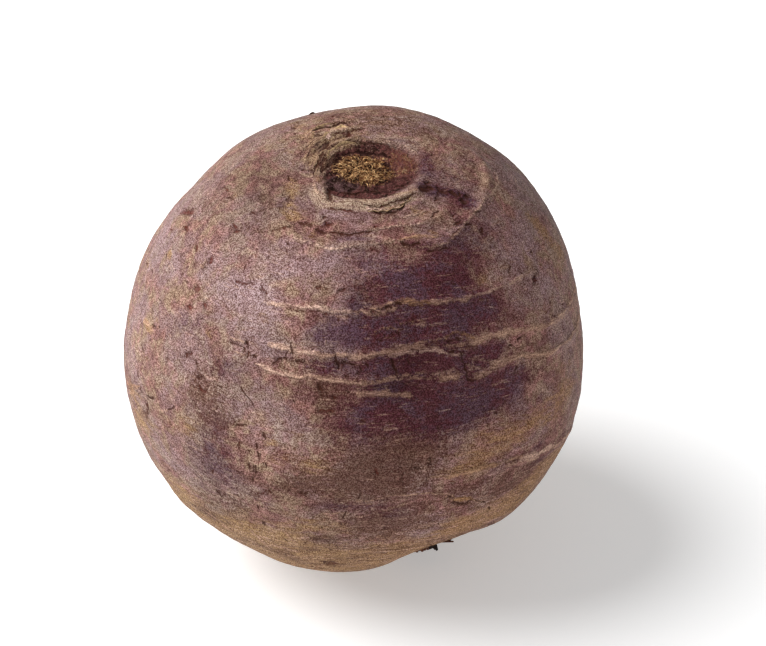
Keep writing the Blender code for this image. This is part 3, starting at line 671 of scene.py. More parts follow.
BODY_PATCHES = (
    patches(StainAndPaintedLight.PURPLE, (
        (8, 36.5, 14, 4, 0.95), (22, 36, 12, 4.5, 0.95), (36, 36, 10, 5, 0.9), (44, 34, 6, 6, 0.45),
        (14, 47, 14, 6, 0.75), (31, 45, 13, 6, 0.8), (42, 50, 14, 7, 0.4), (54, 50, 18, 7, 0.25),
        (12, 27.6, 10, 2.4, 1), (26, 26, 7, 2.2, 0.85), (36, 25, 8, 2.4, 0.95),
        (10, 22.9, 9, 1.1, 1), (8, 18, 10, 4, 0.8), (24, 15, 12, 5, 0.85), (36, 16, 10, 5, 0.95),
        (46, 17, 8, 5, 0.4), (54, 14, 7, 4, 0.2), (-8, 36, 6, 4, 0.4), (-2, 52, 8, 5, 0.2),
        (8, 55, 12, 4, 0.35), (24, 54, 14, 3, 0.25), (46, 7, 8, 3, 0.35), (-8, 28, 6, 1.6, 0.65),
        (0, 13, 8, 6, 0.4), (-53, 27, 4, 3, 0.5), (-47, 29, 5, 2, 0.35), (-34, 23.5, 5, 3, 0.45),
        (-33, 0, 6, 6, 0.3), (-30, -8, 9, 5, 0.3), (-40, -8, 7, 6, 0.2), (-38, -2, 6, 5, 0.2),
        (-44, 9, 3, 3, 0.35), (-38, 22, 4, 3, 0.3), (2, -9, 9, 3, 0.35), (-6, -9.6, 5, 2.4, 0.35),
        (8, -12, 9, 4, 0.4), (-4, -26.5, 5, 1.8, 0.4), (50, -6, 4, 1.4, 0.6), (39, -7.6, 4, 1.6, 0.4),
        (52, -12, 8, 2.4, 0.5), (38, -2.4, 4, 1.4, 0.4), (-20, -13, 4, 3, 0.3), (55, 30, 7, 5, 0.15),
        (60, 50, 12, 4, 0.25), (66, 34, 4, 3, 0.35), (78, 31, 4, 2, 0.3), (74, 23, 4, 1.5, 0.3),
        (70, 14, 6, 2, 0.25), (120, 30, 20, 7, 0.5), (150, 26, 24, 10, 0.7), (-164, 22, 20, 10, 0.6),
        (18, 28, 19, 12, 0.7), (28, 47, 17, 8, 0.3), (23, 14, 19, 8, 0.6), (-4, 14, 8, 4, 0.25),
        (18, 34, 16, 5, 0.6), (-14, 41, 8, 4, 0.1), (-30, 54, 12, 6, 0.25), (-10, 20, 10, 4, 0.2),
        (-36, 4, 7, 12, 0.3), (1, 43, 5, 4, 0.6), (-11, 31, 10, 9, 0.3), (-140, 14, 16, 8, 0.5),
        (132, -2, 18, 7, 0.45), (176, -2, 14, 8, 0.4), (-118, 40, 14, 6, 0.35),
        (-108, 2, 10, 8, 0.3),
    ))
    + patches(StainAndPaintedLight.BROWN, (
        (6, 5, 12, 8, 0.75), (4, -2, 12, 6, 0.55), (12, -16, 10, 6, 0.6), (4, -18, 8, 6, 0.6),
        (-6, -3, 8, 3, 0.4), (16, 8, 10, 6, 0.65), (-4, 22, 6, 5, 0.7), (-8, 24, 3, 5, 0.6),
        (0, 28.6, 5, 1.2, 0.8), (26, 22, 6, 3, 0.3), (30, 24, 2, 4, 0.5), (-40, 18, 6, 6, 0.45),
        (-36, 10, 7, 6, 0.5), (-42, 14, 4, 3, 0.4), (-28, -4, 6, 3, 0.35), (-30, -14, 8, 4, 0.45),
        (-18, -5, 8, 2.4, 0.5), (-12, -2, 6, 3, 0.4), (-8, -23.4, 6, 2, 0.75), (-43, -26, 6, 3, 0.6),
        (-36, -20, 10, 4, 0.4), (-62, -3, 4, 2.4, 0.5), (-60, 0, 1.5, 3, 0.5), (40, -14, 14, 4, 0.5),
        (28, -8, 8, 2.4, 0.5), (56, 8, 8, 4, 0.25), (-78, 44, 5, 2, 0.4), (-56, 53, 5, 2.4, 0.5),
        (-46, 56, 7, 3, 0.4), (-80, 50, 10, 6, 0.4), (-50, 62, 14, 3, 0.45), (60, 35, 4, 3, 0.3),
        (-3, 13, 10, 7, 0.25), (-36, 2, 8, 14, 0.25), (-26, 52, 14, 7, 0.25), (0, -30, 30, 8, 0.2),
        (-34, -36, 24, 8, 0.2), (30, -32, 30, 8, 0.2), (4, -8, 22, 12, 0.4), (46, -12, 20, 10, 0.35),
        (110, 0, 14, 8, 0.4), (160, -14, 18, 8, 0.5), (-150, -8, 18, 8, 0.5), (-120, 14, 12, 8, 0.35),
        (140, 44, 20, 6, 0.4), (-150, 46, 24, 6, 0.4),
    ))
    + patches(StainAndPaintedLight.TAN, (
        (0, -38, 30, 9, 0.9), (-20, -28, 14, 5, 0.65), (12, -33, 10, 5, 0.8), (30, -24, 8, 4, 0.7),
        (44, -24, 14, 6, 0.75), (60, -18, 12, 6, 0.65), (36, 4, 12, 5, 0.6), (30, -1, 10, 3, 0.5),
        (50, 2, 12, 5, 0.45), (64, 4, 12, 8, 0.4), (-35, -26, 6, 3, 0.5), (-18, -23, 4, 3, 0.5),
        (-10, -17, 8, 4, 0.4), (-64, -6, 6, 4, 0.7), (-57, -3, 3, 1.6, 0.5), (-70, -1, 5, 3, 0.6),
        (-66, 10, 3, 5, 0.45), (-67.5, 18.8, 4, 1.1, 0.8), (-65, 22, 3, 2, 0.4), (-74.5, 36.2, 2.2, 1.4, 0.8),
        (-84, 28, 6, 3, 0.4), (-82, 11, 5, 3, 0.4), (-46, 3, 5, 3, 0.4), (-42, 5, 6, 2, 0.4),
        (-42.6, 28.5, 1.6, 1, 0.6), (-53, 24.2, 1.6, 0.8, 0.5), (-27, 37.6, 2.4, 1.6, 0.5),
        (-14, 4, 8, 4, 0.4), (-8, 2, 5, 3, 0.4), (-14, 10.6, 4, 1.6, 0.4), (-20.5, 7.6, 2.6, 1.2, 0.55),
        (45.5, 41.5, 3, 2, 0.6), (52, 46.4, 3, 1.2, 0.4), (-53.6, 10.2, 2, 1.2, 0.35),
        (2, 46.5, 3, 1.4, 0.4), (-71, 57.6, 5, 1.4, 0.5), (-35, 63, 7, 1.6, 0.5), (-9, 38.6, 2.4, 1, 0.4),
        (22, 17, 3, 1.4, 0.35), (10.5, 17.4, 2, 1.2, 0.4), (2, 15.6, 1.4, 1, 0.5), (2, 33, 3, 1.6, 0.4),
        (12, 36.6, 2.4, 1, 0.35), (62, 25, 8, 2, 0.25), (68, 38, 5, 3, 0.3), (54, 41, 8, 3, 0.25),
        (0, -60, 180, 20, 0.5), (-20, -44, 50, 16, 0.5), (100, -30, 24, 10, 0.7),
        (140, -38, 24, 10, 0.75), (-170, -40, 30, 10, 0.8),
        (-120, -34, 26, 10, 0.7), (-90, -24, 14, 8, 0.5), (-100, 20, 10, 5, 0.35), (150, 8, 14, 4, 0.35),
        (-170, 12, 14, 4, 0.35), (80, -66, 180, 12, 0.6), (-52, -28, 14, 7, 0.6),
    ))
    # Lilac bloom; high on the front left these patches also paint its sheen.
    + patches(StainAndPaintedLight.LILAC, (
        (-32, 39, 11, 7, 0.9), (-46, 40, 10, 6, 0.55), (-22, 49, 9, 4, 0.5), (-64, 34, 10, 5, 0.35),
        (-58, 44, 7, 4, 0.45), (-24, 31, 6, 4, 0.4), (-22, 18, 9, 5, 0.4), (-48, 20, 8, 6, 0.2),
        (-26, 10, 8, 6, 0.35), (-50, -8, 10, 8, 0.45), (-50, 8, 6, 6, 0.4), (70, 42, 14, 6, 0.7),
        (70, 30, 10, 6, 0.45), (72, 14, 10, 6, 0.3), (16, -21, 5, 5, 0.5), (21, -16, 4, 4, 0.4),
        (-28, -30, 6, 3, 0.4), (-12, 45, 6, 4, 0.3), (-90, 34, 20, 12, 0.5), (160, 38, 30, 8, 0.4),
        (110, 44, 16, 8, 0.5), (-130, 30, 20, 6, 0.4), (-76, 14, 14, 14, 0.4),
    ))
    + patches(StainAndPaintedLight.OCHRE, (
        (84, 38, 4, 6, 0.8), (86, 29, 4, 4, 0.7), (79.5, 27.5, 2.4, 2, 0.5), (27, -23.6, 5, 3, 0.6),
        (-29, -22.8, 2.4, 2, 0.7), (-66, -5.5, 4, 2, 0.4), (-72, -1.6, 3, 1.4, 0.5), (12, -30, 6, 2, 0.35),
        (40, -27, 8, 3, 0.4), (27, -12, 3, 1.4, 0.7), (0, -40, 14, 3, 0.35), (-44, -30, 8, 3, 0.6),
        (-30, -27, 6, 2, 0.5),
        (-10, -31, 8, 1.5, 0.5), (29.5, 31.2, 2.6, 1, 0.5),
        (-19, -24, 2, 2, 0.4), (52, -28, 6, 3, 0.4), (130, -30, 12, 4, 0.4), (-150, -32, 12, 4, 0.4),
    ))
    # Painted shade: broad patches that darken the skin, the largest over the top and one near the tap root.
    + patches(StainAndPaintedLight.PAINTED_SHADE, (
        (-66, 65, 34, 11.5, 0.78), (60, 68, 20, 7, 0.45), (-40, -12, 5, 15, 0.35), (14, 32, 6, 9, 0.45),
        (10, 23, 7, 4, 0.7), (2, 44, 5, 4, 0.35), (28, -35, 6, 7, 0.6), (-7, -24, 6, 12, 0.3),
        (-32, 22, 4, 3, 0.3), (14, 29, 5, 4, 0.35), (120, 50, 30, 10, 0.3), (-140, 60, 30, 10, 0.4),
    ))
    # Painted light: broad patches that lighten the skin.
    + patches(StainAndPaintedLight.PAINTED_LIGHT, (
        (64, 24, 20, 18, 0.3), (49, 20, 7, 9, 0.45), (47, 37, 7, 8, 0.35), (40, 24, 5, 12, 0.4),
        (-28, 43, 14, 8, 0.35), (-16, 38, 5, 3, 0.3), (20, 53, 16, 4, 0.45), (-21, 6, 7, 8, 0.65),
        (-8, 4, 5, 8, 0.25), (-70, 12, 9, 9, 0.25), (-56, -14, 12, 8, 0.25), (-40, 14, 4, 4, 0.3),
        (-14, 11, 5, 4, 0.3), (77, 24, 12, 18, 0.25), (-48, -20, 6, 4, 0.25), (16, -15, 5, 4, 0.3),
    ))
    # Painted warm shade: one wide patch that reddens the shaded right side.
    + patches(StainAndPaintedLight.PAINTED_WARM_SHADE, (
        (40, 30, 56, 75, 0.9),
    ))
    + patches(StainAndPaintedLight.MAROON, (
        (-16, 3.6, 4, 2.4, 0.5), (-17.5, 6, 3, 1.6, 0.4), (-53.5, 33.5, 3, 5, 0.35),
        (-54.3, 43.6, 1.2, 1.2, 0.6), (-85, 45, 6, 2, 0.5), (-76, 43.5, 2.6, 1, 0.5),
        (18, 38, 6, 2, 0.6), (10, 34.8, 6, 1.4, 0.6), (38, 17, 6, 3, 0.4), (-6.5, 17.2, 3, 1, 0.5),
        (-24, -9, 3, 1.2, 0.5), (-43, -27.2, 3.4, 2, 0.5), (20, 24.6, 4, 0.8, 0.35),
        (-12, 39.6, 4, 1.2, 0.4), (-8, 46.6, 3, 1, 0.45), (5, 1.4, 1.2, 1.6, 0.5),
        (148, 24, 8, 3, 0.4), (-160, 24, 8, 3, 0.4),
    ))
)

CROWN_PATCHES = (
    patches(StainAndPaintedLight.PURPLE, (
        (14.4, -8.8, 2.6, 2, 1), (17.6, -8.9, 2.2, 1.3, 0.9), (20.9, -9.8, 1.9, 2, 1),
        (20.2, -8.4, 2.2, 0.9, 0.75), (17.2, -8.6, 1.2, 0.8, 0.9), (-6.8, -4.2, 0.8, 2.2, 0.95),
        (-5.2, 1.5, 0.9, 2.1, 1), (-4.6, -12.8, 0.6, 2.2, 1), (0, -22.8, 4, 0.7, 0.5),
        (14, -18.4, 1.4, 1, 0.4), (-5, -19.6, 1.2, 0.6, 0.7), (-6.2, -20.9, 1, 0.6, 0.8),
        (12, -22.6, 3, 0.5, 0.6), (19.5, -13, 2, 3, 0.4), (18, -3, 6, 5, 0.45),
        (14, -2, 1.8, 5, 0.55), (9, 4.8, 5, 1.2, 0.5), (20, 6, 6, 5, 0.3),
    ))
    + patches(StainAndPaintedLight.MAROON, (
        (-0.9, 5.6, 0.7, 1.2, 0.8), (-4.2, -20, 1.6, 0.6, 0.5), (3.6, -24.6, 1.6, 0.6, 0.7),
        (16.2, -16.2, 2.4, 2, 0.4), (13.5, 7, 2.4, 1.6, 0.35), (2, -19.6, 5, 1.2, 0.3),
        (4, -20.4, 0.8, 0.6, 0.5), (14.4, -8.4, 1.2, 0.9, 0.6), (-6.6, -5, 0.6, 1.4, 0.5),
    ))
    + patches(StainAndPaintedLight.TAN, (
        (-11.6, -12, 1.3, 5, 0.55), (-10.4, -17, 2.2, 1.6, 0.3), (-7.4, -21.4, 1.4, 1, 0.6),
        (-7, -10, 1.2, 4, 0.45), (0.5, -13.8, 4.5, 1.6, 0.6), (9, -11.4, 3, 1.8, 0.4),
        (-2.6, 8, 2, 0.9, 0.6), (-4.6, 4.7, 0.6, 0.9, 0.8), (-2.4, 4.4, 1.4, 1.2, 0.4),
        (-8.6, 6, 1.2, 2, 0.35), (12, -15.6, 3, 2, 0.35), (-1, 2.2, 2, 0.8, 0.4),
        (4, 12, 20, 8, 0.3), (14, -4, 8, 9, 0.25), (-10, 2, 6, 10, 0.3),
    ))
    + patches(StainAndPaintedLight.OCHRE, (
        (-8.4, -19.2, 1.4, 0.6, 0.4), (14.8, -19.3, 1.2, 0.6, 0.7), (-12, -9.4, 0.8, 1.4, 0.4),
        (-5.4, -4, 0.5, 3, 0.4), (12.4, -21, 2.4, 0.6, 0.4),
    ))
    + patches(StainAndPaintedLight.LILAC, (
        (-13, -23, 5, 3, 0.7), (-4, -17.4, 3, 1.6, 0.5), (8.4, -10.6, 2.6, 1.6, 0.7),
        (12.4, -6, 1.2, 2, 0.5), (-6, -26, 5, 2, 0.6), (9, 4.8, 3, 0.9, 0.35),
        (3, 5.2, 4, 0.8, 0.4),
    ))
    + patches(StainAndPaintedLight.BROWN, (
        (14, 8, 5, 3, 0.4), (4, 14, 18, 6, 0.4), (4, 24, 24, 8, 0.35),
        (4, 10, 8, 3, 0.3), (13.6, -5.6, 0.8, 1.2, 0.5),
        (18, -5, 4, 3, 0.3), (-10, 4, 3, 5, 0.3), (22, 2, 4, 6, 0.3),
    ))
)


@dataclass(frozen=True)
class BeetrootForm:
    """The root's shape, as a distance from its centre along each direction.

    Lengths are in metres, but the heart's outline is angle from +X and distance from the scar in mm.
    Angles are in degrees.
    """

    mean_radius: float = 44.5 * MM
    centre_height: float = 43.4 * MM
    crown_x: float = 3.8 * MM
    crown_y: float = -4.8 * MM
    crown_drop: float = 2.7 * MM
    crown_drop_reach: float = 14.0 * MM
    heart_depth: float = 0.42 * MM
    heart_edge: float = 1.1 * MM
    heart_outline: Path = (
        (-180, 8.7), (-160, 9.8), (-135, 11.2), (-110, 9.4), (-80, 8.4), (-45, 7.6),
        (0, 8.9), (25, 9.8), (60, 9.3), (90, 8.5), (135, 8.2), (180, 8.7),
    )
    lip_height: float = 0.22 * MM
    lip_width: float = 1.2 * MM
    tap_azimuth: float = 47.0
    tap_elevation: float = -63.5
    tap_radius: float = 2.3 * MM
    tap_reach: float = 1.015 * 44.5 * MM
    fold_count: int = 7
    fold_height: float = 0.25 * MM
    fold_from_tap: float = 13.0
    fold_spread: float = 7.0
    furrow_azimuths: tuple[float, float] = (-64.0, 116.0)
    furrow_depth: float = 0.3 * MM
    furrow_width: float = 2.2 * MM
    furrow_span: tuple[float, float] = (-60.0, 28.0)
    furrow_fade: float = 14.0
    band_fade: float = 9.0
    band_share: float = 0.7
    band_above: float = 1.15
    band_below: float = 0.7
    ridge_fade: float = 14.0
    lumps: tuple[tuple[float, float, float, float], ...] = (
        (5.3, 3.1, -2.2, 0.4), (-3.4, 5.9, 3.6, 1.9), (2.7, -4.4, 6.1, 3.3), (7.9, 6.2, 4.8, 5.2),
    )
    lump_height: float = 0.16 * MM

    @property
    def centre(self) -> np.ndarray:
        """The root's centre."""
        return np.array([0.0, 0.0, self.centre_height])

    def crown_direction(self) -> np.ndarray:
        """Finds where the scar lies.

        Returns:
            Unit vector from the root's centre to the middle of the scar.
        """
        level = math.hypot(self.crown_x, self.crown_y)
        rise = math.sqrt(self.mean_radius**2 - level**2) - self.crown_drop
        along = np.array([self.crown_x, self.crown_y, rise])
        return along / np.linalg.norm(along)

    def bulged_radius(self, along: np.ndarray) -> np.ndarray:
        """The globe with its bulges, hollows and slow lumps.

        Args:
            along: Unit directions from the centre.

        Returns:
            Distance from the centre along each.
        """
        radius = np.full(len(along), self.mean_radius)
        for bulge in BULGES:
            axis = direction(bulge.azimuth, bulge.elevation)
            away = np.degrees(np.arccos(np.clip(along @ axis, -1.0, 1.0)))
            radius += bulge.height * MM * bump(away, bulge.spread)
        for x, y, z, phase in self.lumps:
            radius += self.lump_height * np.sin(along @ np.array([x, y, z]) + phase)
        return radius

    def scar_polar(self, plan: np.ndarray) -> tuple[np.ndarray, np.ndarray, np.ndarray]:
        """Places plan points round the scar.

        Args:
            plan: X and Y in metres.

        Returns:
            Distance from the scar's middle, angle from +X in degrees, and distance outside the
            sunken heart's edge.
        """
        x, y = plan[:, 0] - self.crown_x, plan[:, 1] - self.crown_y
        away, angle = np.hypot(x, y), np.degrees(np.arctan2(y, x))
        return away, angle, away - track(angle, self.heart_outline) * MM

    def crown_relief(self, plan: np.ndarray) -> np.ndarray:
        """The crown's flattened top, sunken heart, lip and bark ridges.

        Args:
            plan: X and Y in metres.

        Returns:
            Height over the globe at each.
        """
        away, angle, edge = self.scar_polar(plan)
        relief = -self.crown_drop * bump(away, self.crown_drop_reach)
        relief -= self.heart_depth * smooth_step(0.5 - edge / self.heart_edge)
        relief += self.lip_height * bump(edge - self.heart_edge, self.lip_width)
        for ridge in RIDGES:
            ends = faded(angle, ridge.path[0][0], ridge.path[-1][0], self.ridge_fade)
            across = away - track(angle, ridge.path) * MM
            relief += ridge.height * MM * bump(across, ridge.width * MM) * ends
        return relief

    def band_across(self, band: Band, azimuth: np.ndarray, elevation: np.ndarray) -> np.ndarray:
        """Distance in metres above a band's middle line."""
        return np.radians(elevation - track(azimuth, band.path)) * self.mean_radius

    def band_strength(self, band: Band, azimuth: np.ndarray) -> np.ndarray:
        """1 along a band, dying away to 0 at its ends."""
        return faded(azimuth, band.path[0][0], band.path[-1][0], self.band_fade)

    def band_relief(self, azimuth: np.ndarray, elevation: np.ndarray) -> np.ndarray:
        """The corky bands: each rises gently and breaks off below.

        Args:
            azimuth: Azimuths in degrees.
            elevation: Elevations in degrees.

        Returns:
            Height over the skin at each.
        """
        relief = np.zeros(len(azimuth))
        for band in BANDS:
            across = self.band_across(band, azimuth, elevation)
            width = band.width * MM * np.where(across > 0.0, self.band_above, self.band_below)
            height = band.height * self.band_share * MM
            relief += height * bump(across, width) * self.band_strength(band, azimuth)
        return relief

    def furrow_relief(self, azimuth: np.ndarray, elevation: np.ndarray) -> np.ndarray:
        """The two shallow furrows that the side rootlets grew from.

        Args:
            azimuth: Azimuths in degrees.
            elevation: Elevations in degrees.

        Returns:
            Height over the skin at each, below 0.
        """
        relief = np.zeros(len(azimuth))
        level = self.mean_radius * np.cos(np.radians(elevation))
        for furrow in self.furrow_azimuths:
            across = np.radians(turned(azimuth, furrow)) * level
            ends = faded(elevation, *self.furrow_span, self.furrow_fade)
            relief -= self.furrow_depth * bump(across, self.furrow_width) * ends
        return relief

    def fold_relief(self, along: np.ndarray) -> np.ndarray:
        """Folds that gather towards the tap root.

        Args:
            along: Unit directions from the centre.

        Returns:
            Height over the skin at each.
        """
        tap = direction(self.tap_azimuth, self.tap_elevation)
        side = np.cross(tap, [0.0, 0.0, 1.0])
        side /= np.linalg.norm(side)
        around = np.arctan2(along @ np.cross(side, tap), along @ side)
        away = np.degrees(np.arccos(np.clip(along @ tap, -1.0, 1.0)))
        ring = bump(away - self.fold_from_tap, self.fold_spread)
        return self.fold_height * np.cos(self.fold_count * around) * ring

    def angles(self, along: np.ndarray) -> tuple[np.ndarray, np.ndarray]:
        """Azimuth and elevation of each direction, in degrees."""
        azimuth = np.degrees(np.arctan2(along[:, 0], -along[:, 1]))
        return azimuth, np.degrees(np.arcsin(np.clip(along[:, 2], -1.0, 1.0)))

    def radius(self, along: np.ndarray) -> np.ndarray:
        """Adds all the form's parts up.

        Args:
            along: Unit directions from the centre.

        Returns:
            Distance from the centre to the skin along each.
        """
        azimuth, elevation = self.angles(along)
        radius = self.bulged_radius(along)
        crown = self.crown_relief(along[:, :2] * radius[:, None])
        radius = radius + np.where(along[:, 2] > 0.0, crown, 0.0)
        radius += self.band_relief(azimuth, elevation) + self.furrow_relief(azimuth, elevation)
        return radius + self.fold_relief(along)

    def skin_point(self, along: np.ndarray) -> np.ndarray:
        """The point of the skin along a direction from the centre."""
        way = np.asarray(along, float) / np.linalg.norm(along)
        return self.centre + way * self.radius(way[None, :])[0]

    def crown_point(self, x: float, y: float) -> np.ndarray:
        """The point of the crown's skin over a plan position in millimetres."""
        rise = math.sqrt(self.mean_radius**2 - (x * MM) ** 2 - (y * MM) ** 2)
        return self.skin_point(np.array([x * MM, y * MM, rise - 0.8 * self.crown_drop]))


FORM = BeetrootForm()


@dataclass
class SkinGrid:
    """Rings and sectors round the crown, closest where the skin has the finest detail. Pitch in mm."""

    sectors: int = 364
    front_share: float = 0.45
    crown_pitch: float = 0.32
    shoulder_pitch: float = 0.46
    band_pitch: float = 0.35
    flank_pitch: float = 0.60
    base_pitch: float = 1.20
    lean_from: float = 0.3

    def ring_angles(self) -> np.ndarray:
        """Spaces the rings by the pitch that each latitude needs.

        Returns:
            Angles of the rings from the top, in radians.
        """
        arc_mm = math.radians(1.0) * FORM.mean_radius / MM
        stops = (0, 31, 42, 46, 80, 84, 112, 118, 180)
        pitches = (
            self.crown_pitch, self.crown_pitch, self.shoulder_pitch, self.band_pitch,
            self.band_pitch, self.flank_pitch, self.flank_pitch, self.base_pitch, self.base_pitch,
        )
        angles = [0.0]
        while angles[-1] < 180.0:
            angles.append(angles[-1] + float(np.interp(angles[-1], stops, pitches)) / arc_mm)
        return np.radians(np.array(angles) * 180.0 / angles[-1])

    def directions(self) -> np.ndarray:
        """Lays the rings round the middle of the scar.

        Returns:
            Unit directions of the points: the top one, each ring in turn, the bottom one.
        """
        rings = self.ring_angles()[1:-1]
        even = np.linspace(0.0, 2.0 * math.pi, self.sectors, endpoint=False)
        turn = even - self.front_share * np.cos(even)
        angle, around = np.meshgrid(rings, turn, indexing="ij")
        points = np.stack(
            [np.sin(angle) * np.cos(around), np.sin(angle) * np.sin(around), np.cos(angle)], axis=-1
        ).reshape(-1, 3)
        points = np.vstack([[0.0, 0.0, 1.0], points, [0.0, 0.0, -1.0]])
        crown = FORM.crown_direction()
        lean = np.array([crown[0] / crown[2], crown[1] / crown[2], 0.0])
        share = smooth_step((points[:, 2] - self.lean_from) / (1.0 - self.lean_from))
        points = points + np.outer(share, lean)
        return points / np.linalg.norm(points, axis=1, keepdims=True)

    def faces(self, count: int) -> list[tuple[int, ...]]:
        """Faces between the points, pointing out.

        Args:
            count: How many points there are.

        Returns:
            Point numbers of each face.
        """
        around = self.sectors
        rings = (count - 2) // around
        last = count - 1
        faces: list[tuple[int, ...]] = []
        for j in range(around):
            k = (j + 1) % around
            faces.append((0, 1 + j, 1 + k))
            bottom = 1 + (rings - 1) * around
            faces.append((last, bottom + k, bottom + j))
        for i in range(rings - 1):
            upper, lower = 1 + i * around, 1 + (i + 1) * around
            faces.extend(
                (upper + j, lower + j, lower + (j + 1) % around, upper + (j + 1) % around)
                for j in range(around)
            )
        return faces


@dataclass
class StrokeField:
    """The stroke nearest to each point: offset above its middle and half width in mm, and its tone."""

    offset: np.ndarray
    half_width: np.ndarray
    tone: np.ndarray
    reach: float = 0.35
    fade: float = 0.40
    margin: float = 2.0
    taper_share: float = 0.16
    taper_limits: tuple[float, float] = (0.35, 2.2)

    @classmethod
    def lay(cls, strokes_laid: tuple[Stroke, ...], globe: np.ndarray) -> "StrokeField":
        """Finds the nearest of some strokes to each point.

        Args:
            strokes_laid: The strokes.
            globe: The points on the plain globe, in millimetres from its centre.

        Returns:
            The field, with a half width of 0 where no stroke is near.
        """
        field = cls(np.full(len(globe), 2.0), np.zeros(len(globe)), np.zeros(len(globe)))
        for seed, stroke in enumerate(strokes_laid):
            field.add(stroke, globe, seed)
        return field

    @staticmethod
    def line_of(stroke: Stroke) -> np.ndarray:
        """Lays a stroke's path on the plain globe.

        Args:
            stroke: The stroke.

        Returns:
            Points along it, in millimetres from the globe's centre.
        """
        radius = FORM.mean_radius / MM
        path = smooth_path(stroke.path, 4)
        if stroke.place is Place.BODY:
            return np.array([direction(a, e) for a, e in path]) * radius
        rise = np.sqrt(radius**2 - path[:, 0] ** 2 - path[:, 1] ** 2)
        return np.column_stack([path, rise])

    def add(self, stroke: Stroke, globe: np.ndarray, seed: int) -> None:
        """Adds one stroke where it is nearer than those before it.

        Args:
            stroke: The stroke.
            globe: The points on the plain globe, in millimetres from its centre.
            seed: Makes its edge unlike the others'.
        """
        line = self.line_of(stroke)
        middle = line.mean(axis=0)
        around = np.linalg.norm(line - middle, axis=1).max() + stroke.half_width + self.margin
        near = np.nonzero(np.linalg.norm(globe - middle, axis=1) < around)[0]
        if len(near) == 0:
            return
        points = globe[near]
        starts, steps = line[:-1], np.diff(line, axis=0)
        lengths = np.linalg.norm(steps, axis=1)
        run = np.concatenate([[0.0], np.cumsum(lengths)])
        share = np.einsum("nmk,mk->nm", points[:, None, :] - starts[None], steps) / lengths**2
        clipped = np.clip(share, 0.0, 1.0)
        gap = points[:, None, :] - (starts[None] + clipped[..., None] * steps[None])
        best = np.linalg.norm(gap, axis=2).argmin(axis=1)
        rows = np.arange(len(near))
        sides = np.cross(starts, line[1:])
        sides /= np.linalg.norm(sides, axis=1, keepdims=True)
        offset = np.einsum("nk,nk->n", points - starts[best], sides[best])
        along = run[best] + share[rows, best] * lengths[best]
        taper = min(max(self.taper_share * run[-1], self.taper_limits[0]), self.taper_limits[1])
        ends = smooth_step(along / taper + 0.5) * smooth_step((run[-1] - along) / taper + 0.5)
        wander = 0.86 + 0.22 * np.sin(0.9 * along + 1.7 * seed) + 0.12 * np.sin(2.1 * along + 2.9 * seed)
        offset = offset + 0.10 * np.sin(1.1 * along + 3.0 * seed) * min(run[-1] / 4.0, 1.0)
        offset = offset + 0.07 * np.sin(3.7 * along + 5.0 * seed) * min(run[-1] / 2.0, 1.0)
        half_width = stroke.half_width * ends * wander
        half_width *= smooth_step((half_width + self.reach + self.fade - np.abs(offset)) / self.fade)
        lead = half_width - np.abs(offset)
        better = lead > self.half_width[near] - np.abs(self.offset[near])
        chosen = near[better]
        self.offset[chosen] = offset[better]
        self.half_width[chosen] = half_width[better]
        self.tone[chosen] = stroke.tone

    def covered(self, edge: float) -> np.ndarray:
        """1 within the strokes, dying away over an edge of some millimetres."""
        lead = (self.half_width - np.abs(self.offset)) / edge + 0.5
        return smooth_step(lead) * (self.half_width > 0.03)

    def marks(self) -> np.ndarray:
        """Offset, half width and tone of each point."""
        return np.column_stack([self.offset, self.half_width, self.tone])


@dataclass(frozen=True)
class HeartZone:
    """A colour zone of the sunken heart: middle and half size in plan in mm, and how it dies away."""

    name: str
    middle: tuple[float, float]
    half_size: tuple[float, float]
    fullness: float
    fall: float

    def share(self, x: np.ndarray, y: np.ndarray) -> np.ndarray:
        """Works out how much of the heart it takes.

        Args:
            x: Plan places right of the axis, in millimetres.
            y: Plan places behind the axis, in millimetres.

        Returns:
            Its share at each.
        """
        across = (x - self.middle[0]) / self.half_size[0]
        return smooth_step(
            self.fullness - self.fall * np.hypot(across, (y - self.middle[1]) / self.half_size[1]))


HEART_ZONES = (
    HeartZone("straw", (2.2, -4.2), (5.7, 4.4), 1.9, 1.4),
    HeartZone("orange", (9.2, -0.8), (4.0, 4.2), 1.7, 1.3),
    HeartZone("slate", (-2.2, -9.4), (4.0, 2.5), 1.8, 1.5),
)


